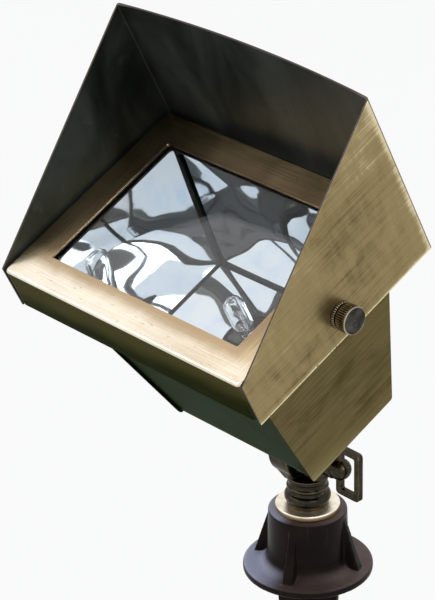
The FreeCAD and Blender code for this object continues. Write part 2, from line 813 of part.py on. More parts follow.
def lamp_filament():
    """A coil across the lamp, between two straight supports that run back into the pinch."""
    middle_y = (tip_y + pinch_y) / 2
    helix = Part.makeHelix(filament_len / filament_turns, filament_len, filament_r)
    section = Part.Wire(Part.makeCircle(filament_wire_r, vec(filament_r, 0, 0), Y_AXIS))
    coil = Part.Wire(helix).makePipeShell([section], True, False)
    coil.rotate(vec(0, 0, 0), Y_AXIS, -90)
    coil.translate(vec(filament_len / 2, middle_y, 0))
    posts = [rod(support_r, vec(x, middle_y - support_r, z), vec(x, pinch_y + support_in, z))
             for x, z in support_spots()]
    return joined([coil] + posts)


def lamp_holder():
    """The ceramic block that the lamp's pins push into."""
    block = plate(holder_w, holder_h, holder_y, bridge_y, holder_round)
    for x in pin_xs():
        hole_end = vec(x, holder_y + pin_len + screw_gap, 0)
        block = block.cut(rod(pin_r + screw_gap, vec(x, holder_y, 0), hole_end))
    for side in (-1, 1):
        x = side * holder_screw_off
        deep = bridge_y - small_screw_len
        block = block.cut(rod(small_screw_r + screw_gap, vec(x, deep, 0), vec(x, bridge_y, 0)))
    return block


def holder_bracket():
    """A hat-shaped steel strip that stands off the housing's back and carries the lamp holder."""
    leg = bracket_leg_x
    foot = leg + bracket_foot
    floor_y = back_y - sheet_t
    corners = [(-foot, floor_y), (-foot, floor_y - bracket_t), (-leg, floor_y - bracket_t), (-leg, bridge_y),
               (leg, bridge_y), (leg, floor_y - bracket_t), (foot, floor_y - bracket_t), (foot, floor_y),
               (leg - bracket_t, floor_y), (leg - bracket_t, bridge_y + bracket_t),
               (bracket_t - leg, bridge_y + bracket_t), (bracket_t - leg, floor_y)]
    flat = [(x, y, 0) for x, y in corners]
    strip = prism(flat, lambda x, y: vec(x, y, -bracket_h / 2), Z_AXIS * bracket_h)
    strip = strip.cut(rod(bracket_hole_r, vec(0, bridge_y, 0), vec(0, bridge_y + bracket_t, 0)))
    for side in (-1, 1):
        x = side * holder_screw_off
        strip = strip.cut(rod(small_screw_r + screw_gap, vec(x, bridge_y, 0), vec(x, bridge_y + bracket_t, 0)))
    return strip.cut(bracket_screw_holes())


def bracket_screw_holes():
    """The holes of the two screws that hold the bracket's feet to the housing's back."""
    x = bracket_leg_x + bracket_foot / 2
    low = back_y - sheet_t - bracket_t
    holes = [rod(small_screw_r + screw_gap, vec(side * x, low, 0), vec(side * x, back_y, 0))
             for side in (-1, 1)]
    return Part.makeCompound(holes)


def bracket_screws():
    """Two short screws driven from inside, flush with the housing's back."""
    x = bracket_leg_x + bracket_foot / 2
    seat_y = back_y - sheet_t - bracket_t
    length = sheet_t + bracket_t
    return Part.makeCompound([
        pan_screw(vec(side * x, seat_y, 0), Y_AXIS, small_screw_r, small_head_r, small_head_t, length)
        for side in (-1, 1)])


def holder_screws():
    """Two screws through the bracket's bridge into the ceramic holder."""
    seat_y = bridge_y + bracket_t
    forward = vec(0, -1, 0)
    return Part.makeCompound([
        pan_screw(vec(side * holder_screw_off, seat_y, 0), forward, small_screw_r, holder_head_r,
                  small_head_t, small_screw_len)
        for side in (-1, 1)])


def wire_path(points):
    """Straight runs joined by tangent arcs, each as large as its two runs allow."""
    edges = []
    start = points[0]
    for before, corner, after in zip(points, points[1:], points[2:]):
        u = (before - corner).normalize()
        v = (after - corner).normalize()
        run = min(before.distanceToPoint(corner), corner.distanceToPoint(after))
        half = u.getAngle(v) / 2
        reach = run * lead_bend_share
        radius = reach * math.tan(half)
        mid = corner + (u + v).normalize() * (radius / math.sin(half) - radius)
        edges.append(Part.LineSegment(start, corner + u * reach).toShape())
        edges.append(Part.Arc(corner + u * reach, mid, corner + v * reach).toShape())
        start = corner + v * reach
    edges.append(Part.LineSegment(start, points[-1]).toShape())
    return Part.Wire(edges)


def lamp_leads():
    """Two insulated leads from the holder's back through the grommet into the knuckle's nipple."""
    leads = []
    end_y = grommet_start_y()
    for side in (-1, 1):
        near_x = side * lead_gap / 2
        stop = vec(near_x, end_y + lead_tail, 0)
        middle = (bridge_y + end_y) / 2
        straight = (end_y - bridge_y) * lead_straight_share
        points = [vec(near_x, bridge_y, 0), vec(near_x, bridge_y + straight, 0),
                  vec(near_x + side * lead_bow, middle, 0), vec(near_x, end_y - straight, 0), stop]
        section = Part.Wire(Part.makeCircle(lead_r, points[0], Y_AXIS))
        leads.append(wire_path(points).makePipeShell([section], True, False))
    return Part.makeCompound(leads)


def grommet_start_y():
    return nipple_y - grommet_lip


def wire_grommet():
    """The rubber bush in the nipple's mouth, with one hole for each lead."""
    start = grommet_start_y()
    lip = rod(nipple_r, vec(0, start, 0), vec(0, nipple_y, 0))
    plug = rod(nipple_bore_r - screw_gap, vec(0, start, 0), vec(0, nipple_y + grommet_len, 0))
    bush = joined([lip, plug])
    for side in (-1, 1):
        x = side * lead_gap / 2
        bush = bush.cut(rod(lead_r + running, vec(x, start, 0), vec(x, nipple_y + grommet_len, 0)))
    return bush


# Glare hood and thumb screws

def hood_section(half_w, top_z, corner_r):
    """The hood seen from the front, filled: upright wings, round bends and a top bowed up in the middle."""
    foot_z = hood_foot_rise - frame_h / 2
    y = front_y - hood_reach
    side_z = top_z - corner_r
    top_x = half_w - corner_r
    diagonal = corner_r * math.sqrt(0.5)
    edges = [
        Part.LineSegment(vec(-half_w, y, foot_z), vec(-half_w, y, side_z)),
        Part.Arc(vec(-half_w, y, side_z), vec(-top_x - diagonal, y, side_z + diagonal), vec(-top_x, y, top_z)),
        Part.Arc(vec(-top_x, y, top_z), vec(0, y, top_z + hood_bow), vec(top_x, y, top_z)),
        Part.Arc(vec(top_x, y, top_z), vec(top_x + diagonal, y, side_z + diagonal), vec(half_w, y, side_z)),
        Part.LineSegment(vec(half_w, y, side_z), vec(half_w, y, foot_z)),
        Part.LineSegment(vec(half_w, y, foot_z), vec(-half_w, y, foot_z))]
    return Part.Face(Part.Wire([edge.toShape() for edge in edges]))


def glare_hood():
    """One sheet bent into a bowed top and two wings, cut along a slope at the front."""
    foot_z = hood_foot_rise - frame_h / 2
    start_y = front_y - hood_reach
    end_y = skirt_y + hood_back_over
    length = Y_AXIS * (end_y - start_y)
    outer = hood_section(wing_out_x, hood_top_out, hood_bend_r).extrude(length)
    inner = hood_section(wing_in_x, hood_top_in, hood_bend_r - hood_sheet).extrude(length)
    sheet = outer.cut(inner)
    crown_z = hood_top_out + hood_bow
    side = [(front_y + hood_foot_rise, foot_z, 0), (end_y, foot_z, 0), (end_y, crown_z, 0),
            (start_y, crown_z, 0), (start_y, hood_top_out, 0)]
    trim = prism(side, lambda y, z: vec(-wing_out_x, y, z), X_AXIS * (2 * wing_out_x))
    hood = sheet.common(trim)
    reach = wing_out_x + overrun
    hole = rod(thumb_shank_r + running, vec(-reach, thumb_y, thumb_rise), vec(reach, thumb_y, thumb_rise))
    return hood.cut(hole)


def knurled(x_low, x_high):
    """A straight-knurled band about the X axis."""
    points = []
    steps = 2 * knurl_teeth
    for i in range(steps):
        angle = math.radians(360 * i / steps)
        r = thumb_r if i % 2 == 0 else thumb_r - knurl_depth
        points.append(vec(x_low, r * math.cos(angle), r * math.sin(angle)))
    return Part.Face(Part.makePolygon(points + points[:1])).extrude(X_AXIS * (x_high - x_low))


def thumb_screw():
    """The +X thumb screw: two knurled bands with a waist, a bright rim and a flat face."""
    waist_x = thumb_x + thumb_base_w
    band_x = waist_x + thumb_waist_w
    rim_x = band_x + thumb_knurl_w
    face_x = rim_x + thumb_rim_w
    waist = rod(thumb_waist_r, vec(waist_x, 0, 0), vec(band_x, 0, 0))
    rim = turned_x([(rim_x, 0, 0), (rim_x, thumb_r, 0), (face_x, thumb_r, thumb_chamfer), (face_x, 0, 0)])
    pip = rod(thumb_pip_r, vec(rim_x, 0, 0), vec(face_x + thumb_pip_h, 0, 0))
    tip_x = frame_w / 2 - frame_wall - weld_nut_t - thumb_shank_spare
    shank = rod(thumb_shank_r, vec(tip_x, 0, 0), vec(waist_x, 0, 0))
    body = joined([knurled(thumb_x, waist_x), waist, knurled(band_x, rim_x), rim, pip, shank])
    body.translate(vec(0, thumb_y, thumb_rise))
    return body


def weld_nuts():
    """The nuts inside the skirt that the thumb screws turn in."""
    nuts = []
    for side in (-1, 1):
        start = vec(side * frame_in_w / 2, thumb_y, thumb_rise)
        along = X_AXIS * (-side * weld_nut_t)
        bar = hexagon(weld_nut_across, start, along)
        nuts.append(bar.cut(rod(thumb_shank_r + running, start, start + along)))
    return Part.makeCompound(nuts)


def hood_spacers():
    """Thin washers between the frame's skirt and the hood's wings."""
    rings = []
    for side in (-1, 1):
        start = vec(side * frame_w / 2, thumb_y, thumb_rise)
        end = vec(side * (wing_in_x - face_gap), thumb_y, thumb_rise)
        rings.append(rod(spacer_r, start, end).cut(rod(thumb_shank_r + running, start, end)))
    return Part.makeCompound(rings)


def main():
    os.makedirs("parts", exist_ok=True)
    save("ground_stake", ground_stake())
    save("stem_locknut", stem_locknut())
    save("knuckle_lower", knuckle_lower())
    save("clamp_nut", clamp_nut())
    save("friction_washer", friction_washer())
    save("clamp_washer", clamp_washer())
    save("clamp_bolt", clamp_bolt())
    save("clamp_handle", clamp_handle())
    save("knuckle_upper", at_pivot(knuckle_upper()))
    save("pad_seal", at_pivot(pad_seal()))
    save("pipe_nut", at_pivot(pipe_nut()))
    save("stiffener_plate", at_pivot(stiffener()))
    save("housing_wrap", at_pivot(housing_wrap()))
    save("side_plate_right", at_pivot(side_plate()))
    save("side_plate_left", at_pivot(mirrored(side_plate())))
    save("front_rim", at_pivot(front_rim()))
    save("door_frame", at_pivot(door_frame()))
    save("door_screws", at_pivot(door_screws()))
    save("lens_gasket", at_pivot(lens_gasket()))
    save("lens_glass", at_pivot(lens_glass()))
    save("reflector", at_pivot(reflector()))
    save("lamp_capsule", at_pivot(lamp_capsule()))
    save("lamp_filament", at_pivot(lamp_filament()))
    save("lamp_pins", at_pivot(lamp_pins()))
    save("lamp_holder", at_pivot(lamp_holder()))
    save("holder_bracket", at_pivot(holder_bracket()))
    save("holder_screws", at_pivot(holder_screws()))
    save("bracket_screws", at_pivot(bracket_screws()))
    save("lamp_leads", at_pivot(lamp_leads()))
    save("wire_grommet", at_pivot(wire_grommet()))
    save("glare_hood", at_pivot(glare_hood()))
    save("hood_spacers", at_pivot(hood_spacers()))
    save("weld_nuts", at_pivot(weld_nuts()))
    save("thumb_screw_right", at_pivot(thumb_screw()))
    save("thumb_screw_left", at_pivot(mirrored(thumb_screw())))


main()
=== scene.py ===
# %% [markdown]
# A garden flood light, dressed for its picture.
# The real light is a tapered brass box with a mirror reflector, a glass front and a bent glare
# hood. It tilts on a bronze knuckle that stands in a plastic ground stake. The exact solids come
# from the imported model, already in place and in metres. This lesson adds the camera, the light,
# the finishes, and the pieces that deserve softer or finer shapes than exact solids have. We load
# the model first, because every later step measures itself against it.

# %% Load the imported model
import math

import bmesh
import bpy
from mathutils import Matrix, Vector


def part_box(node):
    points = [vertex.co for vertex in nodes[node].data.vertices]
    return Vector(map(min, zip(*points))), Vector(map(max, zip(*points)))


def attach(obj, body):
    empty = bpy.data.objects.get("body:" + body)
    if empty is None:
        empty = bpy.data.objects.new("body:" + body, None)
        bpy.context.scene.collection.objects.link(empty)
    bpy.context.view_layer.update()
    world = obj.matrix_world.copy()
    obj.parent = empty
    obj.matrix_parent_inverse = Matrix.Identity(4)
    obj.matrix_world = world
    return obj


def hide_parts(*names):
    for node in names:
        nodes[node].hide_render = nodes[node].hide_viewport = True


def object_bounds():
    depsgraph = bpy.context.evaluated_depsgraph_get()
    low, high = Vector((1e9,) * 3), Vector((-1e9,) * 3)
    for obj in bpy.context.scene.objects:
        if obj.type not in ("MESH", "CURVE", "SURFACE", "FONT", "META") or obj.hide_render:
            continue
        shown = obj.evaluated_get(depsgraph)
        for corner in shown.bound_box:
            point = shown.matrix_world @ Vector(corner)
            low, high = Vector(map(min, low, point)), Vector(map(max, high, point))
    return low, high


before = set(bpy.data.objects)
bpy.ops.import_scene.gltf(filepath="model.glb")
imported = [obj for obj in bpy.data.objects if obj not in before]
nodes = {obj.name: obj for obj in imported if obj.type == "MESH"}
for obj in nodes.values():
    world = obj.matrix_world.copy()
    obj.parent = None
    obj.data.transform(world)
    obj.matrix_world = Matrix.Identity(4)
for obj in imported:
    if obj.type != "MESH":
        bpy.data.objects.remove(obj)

cad_box = [list(corner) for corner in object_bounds()]
print("loaded", len(nodes), "nodes in the box", cad_box)

# %% [markdown]
# The camera stands where the photographer stood: in front and to the right, looking a little
# down, with a long lens that keeps the box's edges nearly parallel. The angles were found by
# fitting the corners of the hood, the frame and the stake to the picture. A camera is easiest to
# place by its own axes: back points from the object to the lens, and right and up span the
# picture.

# %% The camera
azimuth = math.radians(48.475)
elevation = math.radians(25.992)
roll = math.radians(-1.13)
distance = 1.6018
aim_left = 0.04967
aim_height = 0.17332

back = Vector((math.sin(azimuth) * math.cos(elevation),
               -math.cos(azimuth) * math.cos(elevation),
               math.sin(elevation)))
level = Vector((math.cos(azimuth), math.sin(azimuth), 0))
upright = back.cross(level)
right = level * math.cos(roll) + upright * math.sin(roll)
up = upright * math.cos(roll) - level * math.sin(roll)
aim = level * -aim_left + Vector((0, 0, aim_height))

camera = bpy.data.objects.new("camera", bpy.data.cameras.new("camera"))
bpy.context.scene.collection.objects.link(camera)
turn = Matrix((right, up, back)).transposed().to_4x4()
camera.matrix_world = Matrix.Translation(aim + back * distance) @ turn
camera.data.sensor_width = 36
camera.data.lens = 172.65
bpy.context.scene.camera = camera
bpy.context.scene.view_settings.view_transform = "Standard"
print("camera at", [round(value, 3) for value in camera.matrix_world.translation])

# %% [markdown]
# Finishes are mostly sums of masks: where an edge is, how a brush ran, where a stain lies.
# Written as node links such sums are hard to read, so one small class wraps a socket and lets
# Python's own signs add the Math nodes. A second class is a tree of nodes, the world's or a
# material's, and one method of it makes every other kind of node. A third adds what only a
# material has. The lamp head is turned up by an angle, tilt, about an axis at the height pivot,
# and its sheets are square to it. So a material can also ask where a point would be with the head
# straight ahead.

# %% Wires: shader sums in plain Python
class Wire:
    """A number socket that can be used in sums."""

    def __init__(self, owner, socket):
        self.owner = owner
        self.socket = socket

    def sum(self, operation, first, second=0.0):
        return self.owner.node("ShaderNodeMath", {"operation": operation}, {0: first, 1: second})

    def __add__(self, other):
        return self.sum("ADD", self, other)

    def __radd__(self, other):
        return self.sum("ADD", other, self)

    def __sub__(self, other):
        return self.sum("SUBTRACT", self, other)

    def __rsub__(self, other):
        return self.sum("SUBTRACT", other, self)

    def __mul__(self, other):
        return self.sum("MULTIPLY", self, other)

    def __rmul__(self, other):
        return self.sum("MULTIPLY", other, self)

    def __truediv__(self, other):
        return self.sum("DIVIDE", self, other)

    def __abs__(self):
        return self.sum("ABSOLUTE", self)

    def least(self, other):
        return self.sum("MINIMUM", self, other)

    def most(self, other):
        return self.sum("MAXIMUM", self, other)

    def ramp(self, low, high):
        """0 where the value is low, 1 where it is high, smooth between."""
        return self.owner.node("ShaderNodeMapRange", {"interpolation_type": "SMOOTHSTEP"},
                               {"Value": self, "From Min": low, "From Max": high})

    def fall(self, low, high):
        """1 where the value is low, 0 where it is high."""
        return 1 - self.ramp(low, high)


def srgb(red, green, blue):
    """A colour read off a screen, as the linear numbers a shader wants."""
    linear = []
    for value in (red, green, blue):
        share = value / 255
        linear.append(share / 12.92 if share < 0.04045 else ((share + 0.055) / 1.055) ** 2.4)
    return (*linear, 1.0)


print("mid grey is", round(srgb(128, 128, 128)[0], 3), "to a shader")

# %% Nodes: what a tree can make
class Nodes:
    """A tree of nodes, emptied and built anew."""

    def __init__(self, tree):
        self.tree = tree
        self.tree.nodes.clear()

    def node(self, kind, settings=None, sockets=None, out=0):
        """Make a node: its settings first, then what goes in its sockets. A wire comes back."""
        made = self.tree.nodes.new(kind)
        for name, value in (settings or {}).items():
            setattr(made, name, value)
        for name, value in (sockets or {}).items():
            if isinstance(value, Wire):
                self.tree.links.new(value.socket, made.inputs[name])
            else:
                made.inputs[name].default_value = value
        return Wire(self, made.outputs[out])

    def seen_by(self):
        """Three wires, each 1 on one kind of ray: from the camera, off metal, through glass."""
        path = self.node("ShaderNodeLightPath").socket.node
        kinds = ("Is Camera Ray", "Is Glossy Ray", "Is Transmission Ray")
        return [Wire(self, path.outputs[kind]) for kind in kinds]


# %% Finish: one material
tilt = math.radians(64)
pivot = 0.0754


class Finish(Nodes):
    """One material, built node by node."""

    def __init__(self, name):
        self.material = bpy.data.materials.new(name)
        self.material.use_nodes = True
        super().__init__(self.material.node_tree)
        self.shader = self.tree.nodes.new("ShaderNodeBsdfPrincipled")
        self.output = self.tree.nodes.new("ShaderNodeOutputMaterial")
        self.tree.links.new(self.shader.outputs[0], self.output.inputs["Surface"])

    def place(self):
        """Where a point is, upright, in metres."""
        return self.node("ShaderNodeTexCoord", out="Object")

    def head_place(self):
        """Where a point of the lamp head is, with the head straight ahead and its pivot at zero."""
        return self.node("ShaderNodeMapping", {"vector_type": "POINT"}, {
            "Vector": self.place(), "Rotation": (tilt, 0, 0),
            "Location": (0, pivot * math.sin(tilt), -pivot * math.cos(tilt))})

    def axes(self, place):
        """A place's three numbers."""
        split = self.node("ShaderNodeSeparateXYZ", sockets={0: place})
        return [Wire(self, socket) for socket in split.socket.node.outputs]

    def stretched(self, place, x, y, z):
        """A place multiplied along each axis, so a pattern on it is drawn out or packed."""
        return self.node("ShaderNodeVectorMath", {"operation": "MULTIPLY"}, {0: place, 1: (x, y, z)})

    def from_axis(self, place):
        """How far a point is from the upright axis."""
        flat = self.stretched(place, 1, 1, 0)
        return self.node("ShaderNodeVectorMath", {"operation": "LENGTH"}, {0: flat}, "Value")

    def noise(self, place, scale, detail, rough=0.5, warp=0.0):
        """A noise about one half. Three scales, one for each axis, draw it out or pack it."""
        if isinstance(scale, tuple):
            place = self.stretched(place, *scale)
            scale = 1.0
        return self.node("ShaderNodeTexNoise", sockets={
            "Vector": place, "Scale": scale, "Detail": detail, "Roughness": rough, "Distortion": warp})

    def mix(self, mask, first, second):
        """The first colour where the mask is 0, the second where it is 1."""
        return self.node("ShaderNodeMix", {"data_type": "RGBA"}, {0: mask, 6: first, 7: second}, 2)

    def bump(self, height, strength, depth):
        """A relief in the shading alone."""
        return self.node("ShaderNodeBump", sockets={
            "Height": height, "Strength": strength, "Distance": depth})

    def surface(self, **sockets):
        """Set the shader's sockets by their names, with _ for a space."""
        for name, value in sockets.items():
            socket = self.shader.inputs[name.replace("_", " ")]
            if isinstance(value, Wire):
                self.tree.links.new(value.socket, socket)
            else:
                socket.default_value = value

    def on(self, *pieces):
        """Give this finish to objects, in place of any they had."""
        for piece in pieces:
            piece.data.materials.clear()
            piece.data.materials.append(self.material)


print("the head is turned up by", round(math.degrees(tilt)), "degrees")

# %% [markdown]
# A product picture needs light that shows form without a story of its own. A pale floor lies
# under the spike's tip, the world is an even pale dome, and two wide lamps give the dome a
# direction. What the camera, the metal and the glass see of the world is plain white, while the
# dome's light on the object stays lower, so that colours come out as they are written. Light Path
# tells these kinds of ray apart. The floor glows for them too, for the camera a little whiter
# than for the metal, and not so white that the object loses its shadow. From below the floor is
# clear, so that the object's underside can be looked at.

# %% The floor
floor_z = cad_box[0][2] - 0.001
floor_in_picture = 0.86
floor_in_metal = 0.72

bpy.ops.object.select_all(action="DESELECT")
bpy.ops.mesh.primitive_plane_add(size=14, location=(0, 0, floor_z))
floor = bpy.context.object
floor.name = "floor"
bpy.ops.object.transform_apply(location=True, rotation=True, scale=True)

pale = Finish("pale floor")
in_picture, off_metal, through_glass = pale.seen_by()
shown = (in_picture * floor_in_picture).most(off_metal.most(through_glass) * floor_in_metal)
grain = pale.noise(pale.place(), 40, 4)
shade = pale.mix(grain, (0.80, 0.80, 0.80, 1), (0.84, 0.84, 0.84, 1))
pale.surface(Base_Color=shade, Roughness=0.9)
glow = pale.node("ShaderNodeEmission", sockets={"Color": (1, 1, 1, 1), "Strength": 1.0})
painted = Wire(pale, pale.shader.outputs[0])
lit = pale.node("ShaderNodeMixShader", sockets={0: shown, 1: painted, 2: glow})
from_below = pale.node("ShaderNodeNewGeometry", out="Backfacing")
clear_pane = pale.node("ShaderNodeBsdfTransparent")
both = pale.node("ShaderNodeMixShader", sockets={0: from_below, 1: lit, 2: clear_pane})
pale.tree.links.new(both.socket, pale.output.inputs["Surface"])
pale.on(floor)
print("floor at", round(floor_z, 4))

# %% The world
world = bpy.data.worlds.new("studio")
bpy.context.scene.world = world
world.use_nodes = True
studio = Nodes(world.node_tree)
in_picture, off_metal, through_glass = studio.seen_by()
shown = in_picture.most(off_metal).most(through_glass)
dome = studio.node("ShaderNodeBackground", sockets={"Color": (0.93, 0.96, 1.0, 1), "Strength": 0.62})
white = studio.node("ShaderNodeBackground", sockets={"Color": (1, 1, 1, 1), "Strength": 1.0})
either = studio.node("ShaderNodeMixShader", sockets={0: shown, 1: dome, 2: white})
world_out = studio.tree.nodes.new("ShaderNodeOutputWorld")
studio.tree.links.new(either.socket, world_out.inputs["Surface"])
print("world with", len(studio.tree.nodes), "nodes")

# %% The lamps
looked_at = Vector((0, 0, 0.15))


def lamp(name, spot, watts, size, tint):
    """A wide soft lamp that looks at the object's upper half."""
    light = bpy.data.lights.new(name, "AREA")
    light.energy = watts
    light.size = size
    light.color = tint
    stand = bpy.data.objects.new(name, light)
    bpy.context.scene.collection.objects.link(stand)
    stand.location = spot
    towards = looked_at - Vector(spot)
    stand.rotation_euler = towards.to_track_quat("-Z", "Y").to_euler()
    print(name, round(towards.length, 2), "m away")


lamp("key lamp", (-1.0, -1.1, 1.7), 16, 1.3, (1.0, 0.98, 0.95))
lamp("side lamp", (1.6, -0.2, 1.0), 7, 1.2, (0.94, 0.97, 1.0))

# %% [markdown]
# Some pieces need softer or finer shapes than their exact solids. They are modelled here as by
# hand: a primitive is put down at its size, then extruded, resized, inset and cut. An operator
# works on whatever is selected, so each step first makes one object the only one selected, and
# picks its vertices or faces by where they are.

# %% Hands: picking and placing
quarter = math.radians(90)


def alone(piece):
    """Make one object the only one selected, and the active one."""
    bpy.ops.object.select_all(action="DESELECT")
    piece.select_set(True)
    bpy.context.view_layer.objects.active = piece


def edit(piece):
    """Go into edit mode on one object, with its whole mesh selected."""
    alone(piece)
    bpy.ops.object.mode_set(mode="EDIT")
    bpy.ops.mesh.select_all(action="SELECT")


def leave():
    """Go back from edit mode to whole objects."""
    bpy.ops.object.mode_set(mode="OBJECT")


def pick(piece, kind, wanted):
    """In edit mode, select just the vertices, edges or faces that the test wants."""
    bpy.ops.mesh.select_mode(type={"verts": "VERT", "edges": "EDGE", "faces": "FACE"}[kind])
    bpy.ops.mesh.select_all(action="DESELECT")
    mesh = bmesh.from_edit_mesh(piece.data)
    for element in getattr(mesh, kind):
        if wanted(element):
            element.select_set(True)
    mesh.select_flush_mode()
    bmesh.update_edit_mesh(piece.data)


def resize(x, y, z, centre=(0, 0, 0)):
    """Resize what is selected, about a point."""
    bpy.ops.transform.resize(value=(x, y, z), center_override=centre)


def extrude(x, y, z):
    """Draw out what is selected."""
    bpy.ops.mesh.extrude_region_move(TRANSFORM_OT_translate={"value": (x, y, z)})


def settle(piece, matrix=None):
    """Put a piece in its place and leave the place in its mesh."""
    if matrix is not None:
        piece.matrix_world = matrix
    alone(piece)
    bpy.ops.object.transform_apply(location=True, rotation=True, scale=True)
    return piece


print("hands ready to pick and place")

# %% Hands: modifiers, cuts and copies
def modify(piece, kind, **settings):
    """Add one modifier, set it and apply it."""
    alone(piece)
    bpy.ops.object.modifier_add(type=kind)
    modifier = piece.modifiers[-1]
    for name, value in settings.items():
        setattr(modifier, name, value)
    bpy.ops.object.modifier_apply(modifier=modifier.name)


def cut(piece, tool):
    """Take one closed shape away from another."""
    modify(piece, "BOOLEAN", operation="DIFFERENCE", object=tool, solver="EXACT")
    bpy.data.objects.remove(tool)


def slice_off(piece, point, outward):
    """Cut a piece along a plane, drop what lies outward of it, and close the cut."""
    edit(piece)
    bpy.ops.mesh.bisect(plane_co=point, plane_no=outward, use_fill=True, clear_outer=True)
    leave()


def copied(piece, name):
    """A copy with its own mesh."""
    other = piece.copy()
    other.data = piece.data.copy()
    other.name = name
    bpy.context.scene.collection.objects.link(other)
    return other


def mirrored(piece, name, closed):
    """A copy on the other side. Mirroring turns a closed skin inside out, so it is turned back."""
    other = copied(piece, name)
    edit(other)
    bpy.ops.transform.mirror(orient_type="GLOBAL", constraint_axis=(True, False, False),
                             center_override=(0, 0, 0))
    if closed:
        bpy.ops.mesh.normals_make_consistent(inside=False)
    leave()
    return other


def join(pieces):
    """Make several meshes one object, without welding them."""
    alone(pieces[0])
    for piece in pieces[1:]:
        piece.select_set(True)
    bpy.ops.object.join()
    return pieces[0]


def cast(pieces, grain, softness):
    """Melt overlapping shapes into one skin, with its inner corners filled as in a mould."""
    body = join(pieces)
    modify(body, "REMESH", mode="VOXEL", voxel_size=grain)
    modify(body, "SMOOTH", factor=0.5, iterations=softness)
    return body


print("hands ready to cut and copy")

# %% Hands: blocks and turned pieces
def block(name, low, high):
    """A block between two corners, as something to shape or to cut with."""
    bpy.ops.object.select_all(action="DESELECT")
    middle = [(a + b) / 2 for a, b in zip(low, high)]
    size = [b - a for a, b in zip(low, high)]
    bpy.ops.mesh.primitive_cube_add(size=1, location=middle, scale=size)
    bpy.context.object.name = name
    return settle(bpy.context.object)


def rounded(corners, steps=5):
    """A profile of (radius, height) points. Corners are (radius, height, rounding)."""
    points = []
    for before, (a, b, rounding), after in zip([None, *corners], corners, [*corners[1:], None]):
        here = Vector((a, b))
        if not rounding or before is None or after is None:
            points.append(here)
            continue
        u = (Vector(before[:2]) - here).normalized()
        v = (Vector(after[:2]) - here).normalized()
        half = u.angle(v) / 2
        centre = here + (u + v).normalized() * (rounding / math.sin(half))
        first = here + u * (rounding / math.tan(half)) - centre
        last = here + v * (rounding / math.tan(half)) - centre
        for step in range(steps + 1):
            points.append(centre + first.slerp(last, step / steps).normalized() * rounding)
    return points


def turned(name, profile, sides=96, round_x=False, centre=(0, 0, 0)):
    """Turn a piece: a filled ring is drawn out and resized along the profile, about Z or about X."""
    radius, height = profile[0]
    bpy.ops.object.select_all(action="DESELECT")
    bpy.ops.mesh.primitive_circle_add(vertices=sides, radius=radius, fill_type="NGON",
                                      location=(0, 0, height))
    piece = settle(bpy.context.object)
    piece.name = name
    edit(piece)
    for new_radius, new_height in profile[1:]:
        extrude(0, 0, new_height - height)
        share = new_radius / radius
        resize(share, share, 1, (0, 0, new_height))
        radius, height = new_radius, new_height
    bpy.ops.mesh.select_all(action="SELECT")
    bpy.ops.mesh.normals_make_consistent(inside=False)
    leave()
    turn = Matrix.Rotation(quarter, 4, "Y") if round_x else Matrix.Identity(4)
    return settle(piece, Matrix.Translation(centre) @ turn)


def drill(piece, radius, start, end, sides, centre):
    """Cut a hole along X, from start to end, measured from its centre."""
    cut(piece, turned("drill", [(radius, start), (radius, end)], sides, True, centre))


print("hands ready to turn and drill")

# %% Hands: measuring and finishing
def tell(piece):
    """Print how many faces a piece has, and its size in millimetres."""
    size = [round(side * 1000, 1) for side in piece.dimensions]
    print(piece.name, len(piece.data.polygons), "faces", size)


def finished(piece, body, node, sharp=35):
    """Smooth a piece's shading up to an angle, and let it stand for its node."""
    alone(piece)
    bpy.ops.object.shade_smooth_by_angle(angle=math.radians(sharp))
    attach(piece, body)
    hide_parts(node)
    tell(piece)
    return piece


print("hands ready to finish")

# %% [markdown]
# The stake is one moulding: a hub that holds the stem, a flange that rests on the ground, four
# ribs between them, and a cross-shaped blade below. Moulded plastic has no sharp inner corners.
# Hub, flange and ribs are therefore melted into one skin, which fills every corner with a soft
# fillet. The blade stays crisp, since a plain bevel suits flat fins.

# %% Stake sizes
flange_r = 0.0379
flange_t = 0.0046
flange_foot_round = 0.0006
flange_top_round = 0.0016
hub_top_r = 0.0229
hub_foot_r = 0.0238
hub_foot_round = 0.0070
hub_top_round = 0.0009
hub_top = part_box("ground_stake")[1].z
bore_r = 0.0107
bore_floor = 0.010
rib_reach = 0.0336
rib_root = 0.0222
rib_shelf = 0.0004
rib_drop = 0.0022
rib_foot_t = 0.0064
rib_top_t = 0.0038
first_rib = math.radians(24.5)
blade_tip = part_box("ground_stake")[0].z
blade_knee = blade_tip + 0.030
blade_top_w = 0.040
blade_low_w = 0.017
blade_tip_share = 0.06
blade_t = 0.0044
slot_w = 0.009
slot_start = 0.002
print("stake from", round(blade_tip, 4), "to", round(hub_top, 4))

# %% The hub and flange, turned, with the wire slot cut
hub = turned("ground-stake", rounded([
    (flange_r - flange_foot_round, 0, 0), (flange_r, flange_foot_round, 0),
    (flange_r, flange_t, flange_top_round), (hub_foot_r, flange_t, hub_foot_round),
    (hub_top_r, hub_top, hub_top_round), (bore_r, hub_top, 0), (bore_r, bore_floor, 0)]))
slot = block("slot", (-slot_w / 2, slot_start, bore_floor), (slot_w / 2, flange_r, bore_floor + slot_w))
cut(hub, slot)
tell(hub)

